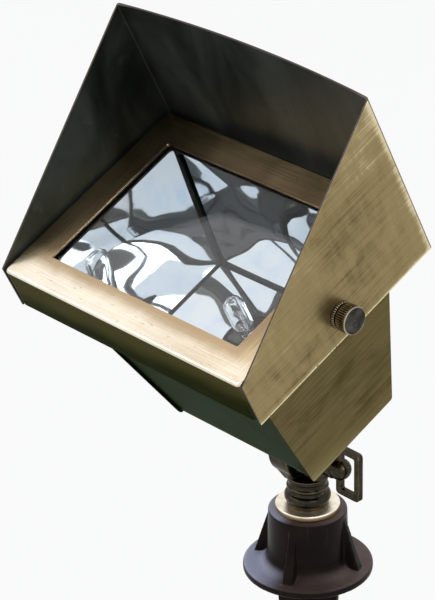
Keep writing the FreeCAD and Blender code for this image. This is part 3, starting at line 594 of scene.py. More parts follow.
# %% One rib, copied round the hub
rib = block("rib", (rib_root, -rib_foot_t / 2, flange_t / 2),
            (rib_reach, rib_foot_t / 2, hub_top - rib_drop))
edit(rib)
pick(rib, "verts", lambda v: v.co.z > hub_top / 2)
resize(1, rib_top_t / rib_foot_t, 1)
pick(rib, "verts", lambda v: v.co.z > hub_top / 2 and v.co.x > (rib_root + rib_reach) / 2)
bpy.ops.transform.translate(value=(rib_root - rib_reach + rib_shelf, 0, 0))
leave()
ribs = []
for index in range(4):
    turn = Matrix.Rotation(first_rib - quarter + index * quarter, 4, "Z")
    ribs.append(settle(copied(rib, "rib"), turn))
bpy.data.objects.remove(rib)
print(len(ribs), "ribs")

# %% Hub, flange and ribs melted into one skin
stake = cast([hub, *ribs], grain=0.0006, softness=5)
tell(stake)

# %% The blade: two tapering fins
fins = []
for index in range(2):
    fin = block("fin", (-blade_top_w / 2, -blade_t / 2, blade_knee),
                (blade_top_w / 2, blade_t / 2, flange_t / 2))
    edit(fin)
    pick(fin, "faces", lambda f: f.normal.z < -0.9)
    resize(blade_low_w / blade_top_w, 1, 1)
    extrude(0, 0, blade_tip - blade_knee)
    resize(blade_tip_share, 1, 1)
    leave()
    modify(fin, "BEVEL", width=0.0005, segments=2)
    fins.append(settle(fin, Matrix.Rotation(first_rib + index * quarter, 4, "Z")))
stake = finished(join([stake, *fins]), "stake", "ground_stake")

# %% [markdown]
# The knuckle's lower half is a brass casting, turned on its neck: a collar, a swelling ring, a
# groove, a thin bead and a shoulder, with a round ear on top. The bead's thin bright line is its
# mark, so the turned profile keeps every step. Casting leaves the ear's foot blended into the
# neck, and the same melting does that here.

# %% Knuckle sizes
nut_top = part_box("stem_locknut")[1].z
stem_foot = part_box("knuckle_lower")[0].z
stem_r = 0.0106
collar = nut_top + 0.0001
collar_r = 0.0124
ring = collar + 0.0019
ring_r = 0.0136
groove = ring + 0.0056
groove_r = 0.0112
bead = groove + 0.0029
bead_r = 0.0123
neck = bead + 0.0018
neck_r = 0.0113
shoulder = neck + 0.0030
shoulder_r = 0.0120
shoulder_top = shoulder + 0.0027
ear_r = 0.0165
ear_back, ear_face = -0.0165, -0.0005
ear_foot = 0.0095
ear_round = 0.0014
bolt_r = 0.0030
bolt_way_r = bolt_r + 0.0003
bolt_reach = 0.03
pocket_r, pocket_depth = 0.0062, 0.0052
chamber_r, chamber_depth = 0.0086, 0.0062
wire_way_r = 0.0055
overrun = 0.002
print("knuckle from", round(stem_foot, 4), "to its shoulder at", round(shoulder, 4))

# %% The neck and the ear
stem = turned("knuckle-lower", rounded([
    (stem_r, stem_foot, 0), (stem_r, collar, 0),
    (collar_r, collar, 0.0004), (collar_r - 0.0003, ring, 0.0004),
    (ring_r, ring + 0.0002, 0.0026), (ring_r - 0.0002, groove - 0.0002, 0.0024),
    (groove_r, groove + 0.0003, 0.0005), (groove_r + 0.0002, bead, 0.0004),
    (bead_r, bead + 0.0002, 0.0006), (bead_r, neck, 0.0006),
    (neck_r, neck, 0.0004), (neck_r, shoulder, 0.0004),
    (shoulder_r, shoulder, 0.0006), (shoulder_r, shoulder_top, 0.0010)]))
ear = turned("ear", rounded([
    (ear_r - ear_round, 0, 0), (ear_r, ear_round, ear_round / 2), (ear_r, ear_face - ear_back, 0)]),
    round_x=True, centre=(ear_back, 0, pivot))
web = block("web", (ear_back, -ear_r, shoulder), (ear_face, ear_r, pivot))
edit(web)
pick(web, "faces", lambda f: f.normal.z < -0.9)
resize(1, ear_foot / ear_r, 1)
leave()
knee = (shoulder + pivot) / 2
slope = Vector((ear_back + ear_foot, 0, knee - shoulder)).normalized()
for part in (ear, web):
    slice_off(part, (ear_back, 0, knee), (-slope.z, 0, slope.x))
    tell(part)

# %% The bores: wires come up the stem, the clamp screw goes through the ear
for part in (stem, ear, web):
    drill(part, bolt_way_r, -bolt_reach, bolt_reach, 32, (0, 0, pivot))
    drill(part, pocket_r, -overrun, pocket_depth, 6, (ear_back, 0, pivot))
    drill(part, chamber_r, -chamber_depth, overrun, 48, (ear_face, 0, pivot))
cut(stem, turned("stem bore", [(wire_way_r, stem_foot - overrun), (wire_way_r, bead)], 48))
knuckle = cast([stem, ear, web], grain=0.0004, softness=2)
finished(knuckle, "stem", "knuckle_lower")

# %% [markdown]
# The clamp screw is turned by a closed loop with a ball at its root, all one casting. The loop
# starts as a block. Its two faces are inset and joined through to make the hole, and then its
# corners are rounded. Ball, boss and loop are melted together at a fine grain, which rounds the
# bar's edges as tumbling does.

# %% Handle sizes
boss_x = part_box("clamp_handle")[0].x
loop_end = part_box("clamp_handle")[1].x
boss_r = 0.0072
boss_l = 0.0089
boss_round = 0.0008
boss_end = boss_x + boss_l
boss_neck_r = 0.0062
ball_out = 0.0029
ball_x = boss_end + ball_out
ball_r = 0.0065
bar = 0.0037
loop_half = 0.01515
loop_corner = 0.0024
hole_corner = 0.0008
print("handle from", round(boss_x, 4), "to", round(loop_end, 4))

# %% The loop
ring_block = block("clamp-handle", (ball_x - bar / 2, -bar / 2, pivot - loop_half),
                   (loop_end, bar / 2, pivot + loop_half))
edit(ring_block)
pick(ring_block, "faces", lambda f: abs(f.normal.y) > 0.9)
bpy.ops.mesh.inset(thickness=bar)
bpy.ops.mesh.bridge_edge_loops()
middle_x = (ball_x - bar / 2 + loop_end) / 2
half_w = (loop_end - ball_x + bar / 2) / 2


def across_bar(e):
    """Whether an edge runs through the loop, from face to face."""
    return abs(e.verts[0].co.y - e.verts[1].co.y) > bar / 2


def at_rim(e):
    """Whether an edge is on the loop's outside, and not in its hole."""
    return abs(e.verts[0].co.x - middle_x) > half_w - bar / 2


pick(ring_block, "edges", lambda e: across_bar(e) and at_rim(e))
bpy.ops.mesh.bevel(offset=loop_corner, segments=8)
pick(ring_block, "edges", lambda e: across_bar(e) and not at_rim(e) and len(e.link_faces) == 2)
bpy.ops.mesh.bevel(offset=hole_corner, segments=5)
leave()
tell(ring_block)

# %% Ball and boss, melted to the loop
boss = turned("boss", rounded([
    (boss_r - boss_round, 0, 0), (boss_r, boss_round, boss_round / 2), (boss_r, boss_l, 0.0010),
    (boss_neck_r, boss_l + 0.0002, 0.0004), (boss_neck_r, boss_l + 0.0010, 0),
    (boss_neck_r - 0.0002, boss_l + ball_out, 0)]), round_x=True, centre=(boss_x, 0, pivot))
drill(boss, bolt_way_r, -overrun, boss_l - 0.0004, 32, (boss_x, 0, pivot))
bpy.ops.object.select_all(action="DESELECT")
bpy.ops.mesh.primitive_uv_sphere_add(segments=64, ring_count=32, radius=ball_r, location=(ball_x, 0, pivot))
ball = settle(bpy.context.object)
slice_off(ball, (boss_end + 0.0010, 0, 0), (-1, 0, 0))
handle = cast([ring_block, boss, ball], grain=0.00025, softness=6)
finished(handle, "clamp", "clamp_handle", sharp=60)

# %% [markdown]
# A thumb screw is turned and then knurled: a narrow band, a smooth waist, a wide band, and a
# plain rim round a flat face with the pip that the lathe's centre leaves. The teeth are made
# after the turning, by drawing every third line of vertices on a band in towards the axis. The
# left screw is the right one's mirror image, with its own mesh.

# %% Thumb screw sizes
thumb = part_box("thumb_screw_right")
thumb_y = (thumb[0].y + thumb[1].y) / 2
thumb_z = (thumb[0].z + thumb[1].z) / 2
thumb_pip = 0.0003
thumb_tip = thumb[0].x
thumb_face = thumb[1].x - thumb_pip
thumb_seat = thumb_face - 0.0102
shank_r = 0.0025
thumb_r = 0.00775
band_edge_r = 0.0073
waist_r = 0.0069
teeth = 38
tooth = 0.0008
narrow_band = (0.0004, 0.0016)
waist = (0.0021, 0.0032)
wide_band = (0.0038, 0.0081)
rim_start = 0.0089
print("thumb screw", round((thumb_face - thumb_seat) * 1000, 2), "mm long outside the hood")

# %% The right thumb screw
steps = [(shank_r, thumb_tip), (shank_r, thumb_seat), (band_edge_r, thumb_seat)]
for radius, along in (
        (thumb_r, narrow_band[0]), (thumb_r, narrow_band[1]), (band_edge_r, narrow_band[1] + 0.0004),
        (waist_r, waist[0]), (waist_r, waist[1]), (band_edge_r, waist[1] + 0.0001),
        (thumb_r, wide_band[0]), (thumb_r, wide_band[1]), (band_edge_r, wide_band[1] + 0.0004),
        (band_edge_r, rim_start - 0.0002), (thumb_r, rim_start)):
    steps.append((radius, thumb_seat + along))
for radius, back_from_face in (
        (thumb_r, 0.0004), (thumb_r - 0.0003, 0), (0.0072, 0), (0.0070, 0.00015), (0.0009, 0.0001),
        (0.0006, -0.0002)):
    steps.append((radius, thumb_face - back_from_face))
screw_right = turned("thumb-screw-right", steps, 3 * teeth, True, (0, thumb_y, thumb_z))
tell(screw_right)


def in_tooth(v):
    """Whether a vertex is on a knurled band, on one of the lines between two teeth."""
    along = v.co.x - thumb_seat
    around = math.atan2(v.co.y - thumb_y, v.co.z - thumb_z)
    on_band = any(start - 0.0002 < along < end + 0.0002 for start, end in (narrow_band, wide_band))
    return on_band and round(around / (2 * math.pi) * 3 * teeth) % 3 == 0


deeper = 1 - tooth / thumb_r
edit(screw_right)
pick(screw_right, "verts", in_tooth)
resize(1, deeper, deeper, (0, thumb_y, thumb_z))
leave()

# %% The left thumb screw, mirrored
screw_left = mirrored(screw_right, "thumb-screw-left", closed=True)
finished(screw_right, "thumb_right", "thumb_screw_right", sharp=30)
finished(screw_left, "thumb_left", "thumb_screw_left", sharp=30)

# %% [markdown]
# Inside the head the work is easier with the head turned straight ahead, so the next pieces are
# made that way and then turned up with it. The reflector is bright sheet: a top wall, a back, a
# bottom wall and two side walls, with a dark gap left open along each corner. The top wall, the
# back and the bottom wall come from one long strip, drawn out along its own outline, and the gaps
# beside the back are cut from it. Hand-folded sheet is never flat. So the walls are divided
# finely and swell by a few millimetres at most, in slow waves. A mirror turns even a slight slope
# into a curved band.

# %% Turning a piece of the head into its place
def on_head(piece):
    """Turn a piece made straight ahead up by the tilt, and lift it to the pivot."""
    return settle(piece, Matrix.Translation((0, 0, pivot)) @ Matrix.Rotation(-tilt, 4, "X"))


# %% Reflector sizes
sheet_t = 0.0006
lip = -0.1675
bowl = -0.0940
mouth_w, mouth_h = 0.0772, 0.0524
back_w, back_h = 0.0615, 0.0370
lip_w = 0.0030
seam_front, seam_back = 0.0048, 0.0052
gap = 0.0024
hole_r = 0.0185
# A swell is its mean, its height, the radians its wave runs through along the depth and
# across, and where the wave starts.
top_swell = (0.0025, 0.00126, 5.63, -4.0, 5.41)
side_swell = (-0.00028, 0.00098, 6.5, -3.39, 0.33)
print("reflector", round(bowl - lip, 4), "deep")

# %% The long strip: top wall, back and bottom wall
def strip_half(y):
    """Half the strip's width where the depth is y, with the corner gap left open."""
    share = (bowl - y) / (bowl - lip)
    return back_w - seam_back + (mouth_w - seam_front - back_w + seam_back) * share


run = rounded([(mouth_h + lip_w / 2, lip, 0), (mouth_h, lip, 0.0010), (back_h, bowl, 0),
               (back_h - gap, bowl, 0), (0, bowl, 0)], 8)
outline = [*run, *[Vector((-z, y)) for z, y in reversed(run[:-1])]]
bpy.ops.object.select_all(action="DESELECT")
bpy.ops.mesh.primitive_plane_add(size=1)
strip = settle(bpy.context.object)
strip.name = "reflector-bowl"
edit(strip)
pick(strip, "verts", lambda v: v.co.y > 0)
bpy.ops.mesh.delete(type="VERT")
bpy.ops.mesh.select_all(action="SELECT")
z, y = outline[0]
resize(2 * strip_half(y), 1, 1)
bpy.ops.transform.translate(value=(0, y + 0.5, z))
for new_z, new_y in outline[1:]:
    extrude(0, new_y - y, new_z - z)
    share = strip_half(new_y) / strip_half(y)
    resize(share, 1, 1, (0, new_y, new_z))
    z, y = new_z, new_y
pick(strip, "faces", lambda f: abs(abs(f.calc_center_median().z) - back_h + gap / 2) < gap / 4)
bpy.ops.mesh.delete(type="FACE")
pick(strip, "faces", lambda f: abs(f.calc_center_median().y - bowl) < gap / 4)
resize((back_w - gap) / strip_half(bowl), 1, 1)
leave()
tell(strip)

# %% The side walls
side = block("side wall", (back_w, lip, -back_h), (back_w + 0.001, bowl, back_h))
edit(side)
pick(side, "faces", lambda f: f.normal.x > -0.9)
bpy.ops.mesh.delete(type="FACE")
pick(side, "verts", lambda v: v.co.y < (lip + bowl) / 2)
resize(1, 1, mouth_h / back_h)
bpy.ops.transform.translate(value=(mouth_w - back_w, 0, 0))
pick(side, "edges", lambda e: all(v.co.y < (lip + bowl) / 2 for v in e.verts))
extrude(lip_w / 2, 0, 0)
leave()
other = mirrored(side, "other side wall", closed=False)
tell(side)

# %% Walls get their thickness, and the back its round hole
reflector = join([strip, side, other])
edit(reflector)
bpy.ops.mesh.remove_doubles(threshold=0.00002)
mesh = bmesh.from_edit_mesh(reflector.data)
for face in mesh.faces:
    centre = face.calc_center_median()
    if face.normal.dot(Vector((0, (lip + bowl) / 2, 0)) - centre) < 0:
        face.normal_flip()
bmesh.update_edit_mesh(reflector.data)
bpy.ops.mesh.subdivide(number_cuts=9)
mesh = bmesh.from_edit_mesh(reflector.data)
mesh.normal_update()
for vertex in mesh.verts:
    depth = (vertex.co.y - lip) / (bowl - lip)
    across = vertex.co.x / mouth_w
    swell = top_swell
    if abs(vertex.normal.x) > 0.5:
        across = vertex.co.z / mouth_h
        swell = side_swell
    wave = swell[0] + swell[1] * math.sin(swell[2] * depth + swell[3] * across + swell[4])
    if abs(vertex.normal.y) < 0.5 and 0 < depth < 1:
        vertex.co += vertex.normal * wave * math.sin(math.pi * depth) * (1 - across * across)
bmesh.update_edit_mesh(reflector.data)
leave()
modify(reflector, "SOLIDIFY", thickness=sheet_t, offset=-1)
hole = turned("hole", [(hole_r, -0.01), (hole_r, 0.01)], 72)
cut(reflector, settle(hole, Matrix.Translation((0, bowl, 0)) @ Matrix.Rotation(quarter, 4, "X")))
on_head(reflector)
finished(reflector, "head", "reflector", sharp=30)

# %% [markdown]
# The lamp is a clear quartz capsule: a thin-walled tube, domed at the nose, with the nub where it
# was sealed, and a flat pinch that holds the wires. Clear things show their walls, so the inside
# is cut out as its own turned shape. Two fine ways let the filament's supports in. Lengths along
# the lamp are measured from its tip.

# %% The lamp capsule
tip, holder = -0.1285, -0.0955
tube_r, tube_l = 0.0060, 0.0275
hollow_r = 0.0050
pinch_start = 0.0255
pinch_half_w, pinch_half_t = 0.00525, 0.0018
support_x, support_lift = 0.0033, 0.0014
support_way_r = 0.0004
support_from, support_to = 0.012, 0.0313

tube = turned("lamp-capsule", rounded([
    (0.0035, tube_l, 0), (tube_r, 0.0225, 0.0030), (tube_r, 0.0050, 0.0030), (0.0042, 0.0012, 0.0020),
    (0.0012, 0.0010, 0.0004), (0.0009, 0.0002, 0.0003), (0.0004, 0.0000, 0)], 8), 64)
hollow = turned("hollow", rounded([
    (0.0020, 0.0255, 0), (hollow_r, 0.0215, 0.0025), (hollow_r, 0.0055, 0.0025),
    (0.0034, 0.0024, 0.0014), (0.0005, 0.0021, 0)], 8), 64)
foot = block("pinch", (-pinch_half_w, -pinch_half_t, pinch_start),
             (pinch_half_w, pinch_half_t, holder - tip))
modify(foot, "BEVEL", width=0.0009, segments=4)
modify(tube, "BOOLEAN", operation="UNION", object=foot, solver="EXACT")
bpy.data.objects.remove(foot)
cut(tube, hollow)
for x in (-support_x, support_x):
    way = turned("way", [(support_way_r, support_from), (support_way_r, support_to)], 12,
                 centre=(x, -support_lift, 0))
    cut(tube, way)
settle(tube, Matrix.Translation((0, tip, 0)) @ Matrix.Rotation(-quarter, 4, "X"))
capsule = finished(on_head(tube), "head", "lamp_capsule", sharp=40)

# %% [markdown]
# The light's sheet metal is antique brass: brushed, darkened in a bath, then rubbed back, so that
# edges wear light and flats keep stains. It could be one colour with noise. Here it is built up as
# the maker does it. Brush lines come first, fine across the brush and long along it. Wide blotches
# of the bath come next, and then pits, and rubbed metal where hands and tools reach. On top of
# these, some edges get painted highlights and some faces painted light or shade. A metal shows its
# edge tint at flat angles. That is kept dark, as old lacquer does, or every face seen from the side
# would turn white.

# %% Brush lines, blotches and a scale of tones
front = -0.176
frame_half_w, frame_half_h = 0.095, 0.0675
opening_half_w, opening_half_h = 0.075, 0.0475
lacquer = (0.50, 0.47, 0.41, 1.0)


def brushed(brass, place, along):
    """Fine lines, long where the numbers in along are small, and the bath's blotches, about a half."""
    fine = brass.noise(place, along, 3, 0.65)
    broad = brass.noise(place, tuple(value * 0.35 for value in along), 3, 0.55)
    blotches = brass.noise(place, (24, 26, 22), 4, 0.6, 0.35)
    return fine * 0.75 + broad * 0.25, blotches


def tones(brass, tone, dark, mid, light):
    """Dark at 0, mid at a half, light at 1."""
    colour = brass.mix(tone.ramp(0.0, 0.5), dark, mid)
    return brass.mix(tone.ramp(0.5, 1.0), colour, light)


def pits(brass, place):
    """Short dark scratches and specks, in drifts."""
    marks = brass.noise(place, (330, 330, 330), 2, 0.7, 0.4)
    drifts = brass.noise(place, (30, 30, 30), 2)
    return marks.ramp(0.70, 0.75) * drifts.ramp(0.45, 0.65)


print("brass helpers ready")

# %% [markdown]
# One sheet makes the whole hood, but its two sides differ. Outside it is rubbed brass, lighter
# towards the slanting front edge. A painted highlight runs along the top bend, and the rear edge is
# lighter, partly from wear and partly as a painted highlight. Inside, the dark bath was never rubbed
# back, so it is nearly black, with faint smears where cloths have wiped it, and it is a skin of oxide
# more than bare metal. The cut edge is dull. The sheet is one CAD node that may not be split, so the
# finish tells the sides apart by place: a point's depth inside the inner face says on which side it
# is. The top is slightly bowed, and the depth is counted from the bowed face.

# %% The hood: which side a point is on
wing_in = 0.0962
sheet = 0.0012
hood_top_in = 0.0690
hood_bow = 0.0045
rear_edge = -0.1471
slant_y, slant_z = -0.1754, -0.0669
slant_lean = 0.5814
slant_share = 0.864

hood = Finish("antique brass hood")
place = hood.head_place()
x, y, z = hood.axes(place)
bowed = z - (1 - (x / wing_in) * (x / wing_in)) * hood_bow
depth_in = (wing_in - abs(x)).least(hood_top_in - bowed)
inside = depth_in.ramp(-0.00025, -0.0001)
cut_edge = depth_in.ramp(-sheet + 0.00008, -sheet + 0.0002) * (1 - inside)
print("sides told apart by", len(hood.tree.nodes), "nodes")

# %% The hood's rubbed outside, with painted highlights
lines, blotches = brushed(hood, place, (26, 1500, 26))
from_slant = (y - slant_y + (z - slant_z) * slant_lean) * slant_share
# Partly wear, partly painted highlight: the rear edge is lighter, with a thin painted highlight line along
# it.
rear_wear_and_highlight = y.ramp(rear_edge - 0.0034, rear_edge + 0.0003) * 0.3 + y.ramp(rear_edge - 0.0006, rear_edge) * 0.3
cloth = hood.noise(place, (12, 60, 160), 4, 0.6)
# Painted highlight: the rounded top bend is painted lighter, where light catches it.
bend_painted_highlight = (z.ramp(0.0640, 0.0695) * 0.45 + z.ramp(0.030, 0.066) * 0.10) * abs(x).ramp(0.084, 0.0955)
wear_and_highlight = bend_painted_highlight + from_slant.fall(0.0, 0.035) * 0.12 + rear_wear_and_highlight
tone = 0.40 + (lines - 0.5) * 0.9 + (cloth - 0.5) * 0.5 - blotches.ramp(0.38, 0.85) * 0.30 + wear_and_highlight
rubbed_and_highlit = tones(hood, tone, srgb(96, 80, 52), srgb(154, 138, 98), srgb(238, 222, 182))
rubbed_and_highlit = hood.mix(pits(hood, place) * 0.6, rubbed_and_highlit, srgb(62, 54, 34))
chips = hood.noise(place, (900, 900, 900), 2).ramp(0.66, 0.70)
at_rear = y.ramp(rear_edge - 0.0008, rear_edge + 0.0001)
rubbed_and_highlit = hood.mix(chips * at_rear, rubbed_and_highlit, srgb(60, 52, 40))
print("outside done at", len(hood.tree.nodes), "nodes")

# %% The hood's black inside, and the whole finish
smears = hood.noise(place, (26, 10, 14), 5, 0.6, 0.8)
wipes = hood.noise(place, (500, 60, 60), 3, 0.6)
black = hood.mix(smears.ramp(0.32, 0.75), srgb(27, 31, 27), srgb(70, 75, 70))
black = hood.mix(wipes.ramp(0.60, 0.75) * 0.2, black, srgb(108, 108, 100))
colour = hood.mix(inside, rubbed_and_highlit, black)
colour = hood.mix(cut_edge, colour, srgb(66, 58, 62))
rough_out = 0.36 + blotches * 0.14 - lines * 0.1
rough_in = 0.30 + smears * 0.22
hood.surface(Base_Color=colour, Metallic=1 - inside * 0.6 - cut_edge * 0.5,
             Roughness=rough_out * (1 - inside) + inside * rough_in,
             Normal=hood.bump(lines, 0.10, 0.0002), Specular_Tint=lacquer)
hood.on(nodes["glare_hood"])
print("hood finish ready")

# %% [markdown]
# The door frame is drawn from one brass sheet. Its face is painted pale gold, a painted reflection
# of the bright sky that it faces. The lower strip is painted palest, less so to the right, the left
# and top strips, deep in the hood, are painted a little darker as the hood's shade, and a darker
# brown band of painted shade runs round the opening. The skirt is painted dark olive, a painted
# reflection of the ground and shade below it, darker towards its rear edge. Brushing follows each
# strip: along the long strips it runs across the head, and on the short ones up the head. The two
# directions meet along the corners' diagonals, where they fade into each other.

# %% The door frame's face
door = Finish("antique brass frame")
place = door.head_place()
x, y, z = door.axes(place)
short_strip = ((frame_half_w - abs(x)) - (frame_half_h - abs(z))).fall(-0.004, 0.004)
long_lines, blotches = brushed(door, place, (30, 1000, 1000))
short_lines = brushed(door, place, (1000, 1000, 30))[0]
lines = long_lines * (1 - short_strip) + short_lines * short_strip
drop = y - front

# Painted light and shade: the lower strip is painted palest, less so to the right, and the left and top
# strips are painted darker for the hood's shade.
lower = z.fall(-0.060, -0.040)
left_top_painted_shade = x.fall(-0.092, -0.074) * 0.08 + z.ramp(0.048, 0.062) * 0.08
lower_strip_painted_light = lower * (0.58 - x.ramp(0.0, 0.09) * 0.12)
tone = 0.30 + (lines - 0.5) * 0.5 + (blotches - 0.5) * 0.3 + lower_strip_painted_light - left_top_painted_shade
# Painted reflection: the face's tones are a pale gold, for the bright sky it faces.
face = tones(door, tone, srgb(124, 105, 76), srgb(208, 187, 152), srgb(252, 242, 225))
# Painted shade: a darker brown band round the opening.
from_opening = (abs(x) - opening_half_w).most(abs(z) - opening_half_h) + (blotches - 0.5) * 0.012
face = door.mix(from_opening.fall(0.0015, 0.0100) * 0.42, face, srgb(150, 116, 86))
specks = door.noise(place, (220, 700, 700), 2, 0.7).ramp(0.66, 0.74) * lower
face = door.mix(specks * 0.5, face, srgb(120, 92, 62))
print("face done at", len(door.tree.nodes), "nodes")

# %% The door frame's skirt
# Painted reflection and shade: the skirt is painted dark olive, darker towards its rear edge; the brush
# lines and pits on it are real.
to_rear = (drop + (blotches - 0.5) * 0.016 + x * 0.05).ramp(0.006, 0.022)
skirt_reflection_and_wear = door.mix(to_rear, srgb(80, 76, 48), srgb(36, 39, 24))
skirt_reflection_and_wear = door.mix(lines.ramp(0.40, 0.70) * 0.2, skirt_reflection_and_wear, srgb(92, 87, 58))
skirt_reflection_and_wear = door.mix(pits(door, place) * 0.5, skirt_reflection_and_wear, srgb(34, 34, 18))
colour = door.mix(drop.ramp(0.0010, 0.0018), face, skirt_reflection_and_wear)
door.surface(Base_Color=colour, Metallic=1.0, Roughness=0.18 + blotches * 0.14,
             Specular_Tint=(0.435, 0.44, 0.42, 1.0), Normal=door.bump(lines, 0.04, 0.0002))
door.on(nodes["door_frame"])
print("door finish ready")

# %% [markdown]
# The housing is one folded sheet between two flat plates. The plates are brushed upright and stay
# mid brown, lighter at the rear edge. The folded sheet's underside is painted dark olive green, a
# painted reflection of the ground and shade below the head, lighter near its rear edge. Cut edges
# and inner faces never saw the rubbing cloth and stay nearly black. Place tells them apart, as on
# the hood: the box's own taper says how deep under the outer face a point lies.

# %% The side plates
box_mouth_y, box_back_y = -0.1654, -0.042
box_half_w, box_taper_w = 0.08371, 0.2259
box_half_h, box_taper_h = 0.05617, 0.1932

plate = Finish("antique brass plate")
place = plate.head_place()
x, y, z = plate.axes(place)
lines, blotches = brushed(plate, place, (26, 1500, 26))
tone = 0.32 + (lines - 0.5) * 1.1 - blotches.ramp(0.45, 0.75) * 0.25 + y.ramp(-0.058, -0.041) * 0.35
tone = tone + (y - z).ramp(-0.015, 0.010) * 0.12
colour = tones(plate, tone, srgb(82, 73, 47), srgb(122, 111, 78), srgb(186, 172, 128))
colour = plate.mix(pits(plate, place) * 0.6, colour, srgb(52, 46, 30))
from_face = abs(x) - (box_half_w - (y - box_mouth_y) * box_taper_w)
colour = plate.mix(from_face.fall(-0.0003, -0.0001), colour, srgb(24, 27, 18))
plate.surface(Base_Color=colour, Metallic=1.0, Roughness=0.34 + blotches * 0.14, Specular_Tint=lacquer,
              Normal=plate.bump(lines, 0.10, 0.0002))
plate.on(nodes["side_plate_right"], nodes["side_plate_left"], nodes["front_rim"])
print("plate finish ready")

# %% The folded housing
wrap = Finish("antique brass housing")
place = wrap.head_place()
x, y, z = wrap.axes(place)
lines, blotches = brushed(wrap, place, (14, 1250, 1250))
tone = 0.42 + (lines - 0.5) * 0.9 - blotches.ramp(0.45, 0.75) * 0.25
colour = tones(wrap, tone, srgb(80, 74, 52), srgb(118, 108, 82), srgb(170, 157, 122))
# Painted reflection: the underside is painted dark olive green for the ground and shade below it, lighter
# near its rear edge.
under_painted_reflection = tones(wrap, blotches + (lines - 0.5) * 0.4, srgb(24, 32, 15), srgb(42, 50, 28), srgb(68, 73, 47))
under_painted_reflection = wrap.mix(y.ramp(-0.047, -0.0425) * 0.6, under_painted_reflection, srgb(112, 112, 78))
colour = wrap.mix(z.fall(-0.024, -0.018), colour, under_painted_reflection)
depth = (box_half_h - (y - box_mouth_y) * box_taper_h - abs(z)).least(box_back_y - y)
colour = wrap.mix(depth.ramp(0.0008, 0.0010), colour, srgb(20, 22, 16))
wrap.surface(Base_Color=colour, Metallic=1.0, Roughness=0.30 + blotches * 0.16,
             Specular_Tint=(0.36, 0.395, 0.35, 1.0), Normal=wrap.bump(lines, 0.10, 0.0002))
wrap.on(nodes["housing_wrap"])
print("housing finish ready")

# %% [markdown]
# The knuckle, the handle and the thumb screws are cast or turned brass with a dark bronze bath
# under wax. The bath wears first on ridges, where brass shows through warm. Geometry's Pointiness
# finds ridges on a mesh whose faces share their corners, as the modelled pieces' do. A CAD node's
# triangles don't, so its ridges are left to chance wear. The wax is a coat: it gives these dark
# metals their bright edges.

# %% Dark bronze
def dark_bronze(name, deep, body, worn, ridged=True):
    """Bronze from its deepest colour to its worn one."""
    bronze = Finish(name)
    place = bronze.place()
    clouds = bronze.noise(place, 150, 5, 0.6, 0.4)
    grit = bronze.noise(place, 1500, 3, 0.6)
    colour = bronze.mix(clouds.ramp(0.3, 0.7), deep, body)
    rubbed_off = clouds.ramp(0.60, 0.75) * 0.4
    if ridged:
        ridges = bronze.node("ShaderNodeNewGeometry", out="Pointiness").ramp(0.505, 0.58)
        rubbed_off = (rubbed_off + ridges * (0.3 + clouds * 0.7)).least(1.0)
    colour = bronze.mix(rubbed_off, colour, worn)
    relief = bronze.bump(grit * 0.3 + clouds * 0.7, 0.08, 0.0003)
    bronze.surface(Base_Color=colour, Metallic=0.95, Roughness=0.20 + clouds * 0.16, Normal=relief,
                   Coat_Weight=0.12 + clouds * 0.2, Coat_Roughness=0.14,
                   Specular_Tint=(0.64, 0.61, 0.56, 1.0))
    return bronze


knuckle_bronze = dark_bronze("dark bronze knuckle", srgb(28, 27, 19), srgb(52, 48, 36), srgb(158, 132, 88))
knuckle_bronze.on(knuckle)
arm_bronze = dark_bronze("dark bronze arm", srgb(30, 28, 19), srgb(62, 55, 40), srgb(104, 90, 60), False)
arm_bronze.on(nodes["knuckle_upper"])
handle_bronze = dark_bronze("dark bronze handle", srgb(28, 26, 17), srgb(62, 54, 36), srgb(140, 120, 84))
handle_bronze.on(handle)
screw_bronze = dark_bronze("dark bronze screws", srgb(34, 32, 28), srgb(72, 70, 64), srgb(214, 198, 172))
screw_bronze.on(screw_right, screw_left)
print("bronze ready")

# %% [markdown]
# The lock nut is bare brass, faced on a lathe, and the one bright metal outside. Turning leaves
# rings on its face, which spread its highlight round the stem. The stake below is moulded
# plastic, nearly black with a brown cast. What faces up gets patchy dust and a painted sheen of the
# sky: a cold lilac painted sheen on one side, and a thin brown film, partly dust and partly painted
# sheen, thicker on the other side.

# %% Bright brass
dull_below, bright_above = 0.0419, 0.0428

bright = Finish("polished brass")
place = bright.place()
x, y, z = bright.axes(place)
rings = bright.node("ShaderNodeTexNoise", {"noise_dimensions": "1D"}, {
    "W": bright.from_axis(place), "Scale": 2600.0, "Detail": 2.0})
haze = bright.noise(place, 240, 3)
colour = bright.mix(haze.ramp(0.3, 0.8), srgb(252, 246, 232), srgb(232, 216, 184))
colour = bright.mix(z.fall(dull_below, bright_above) * 0.8, colour, srgb(170, 136, 78))
bright.surface(Base_Color=colour, Metallic=1.0, Roughness=0.30 + haze * 0.12,
               Normal=bright.bump(rings, 0.25, 0.0001))
bright.on(nodes["stem_locknut"])
print("nut finish ready")

# %% The stake's plastic, its dust and its painted sheen
# Which way the side with the painted sky sheen faces.
sheen_x, sheen_y = -0.663, -0.749

plastic = Finish("stake plastic")
place = plastic.place()
x, y, z = plastic.axes(place)
up_facing = plastic.axes(plastic.node("ShaderNodeNewGeometry", out="Normal"))[2]
mottle = plastic.noise(place, 60, 4)
skin = plastic.noise(place, 2200, 2, 0.6)
dust = plastic.noise(place, 110, 5, 0.65, 0.5)
colour = plastic.mix(mottle.ramp(0.3, 0.7), srgb(17, 12, 9), srgb(31, 21, 18))
towards_sheen = (x * sheen_x + y * sheen_y) / plastic.from_axis(place)
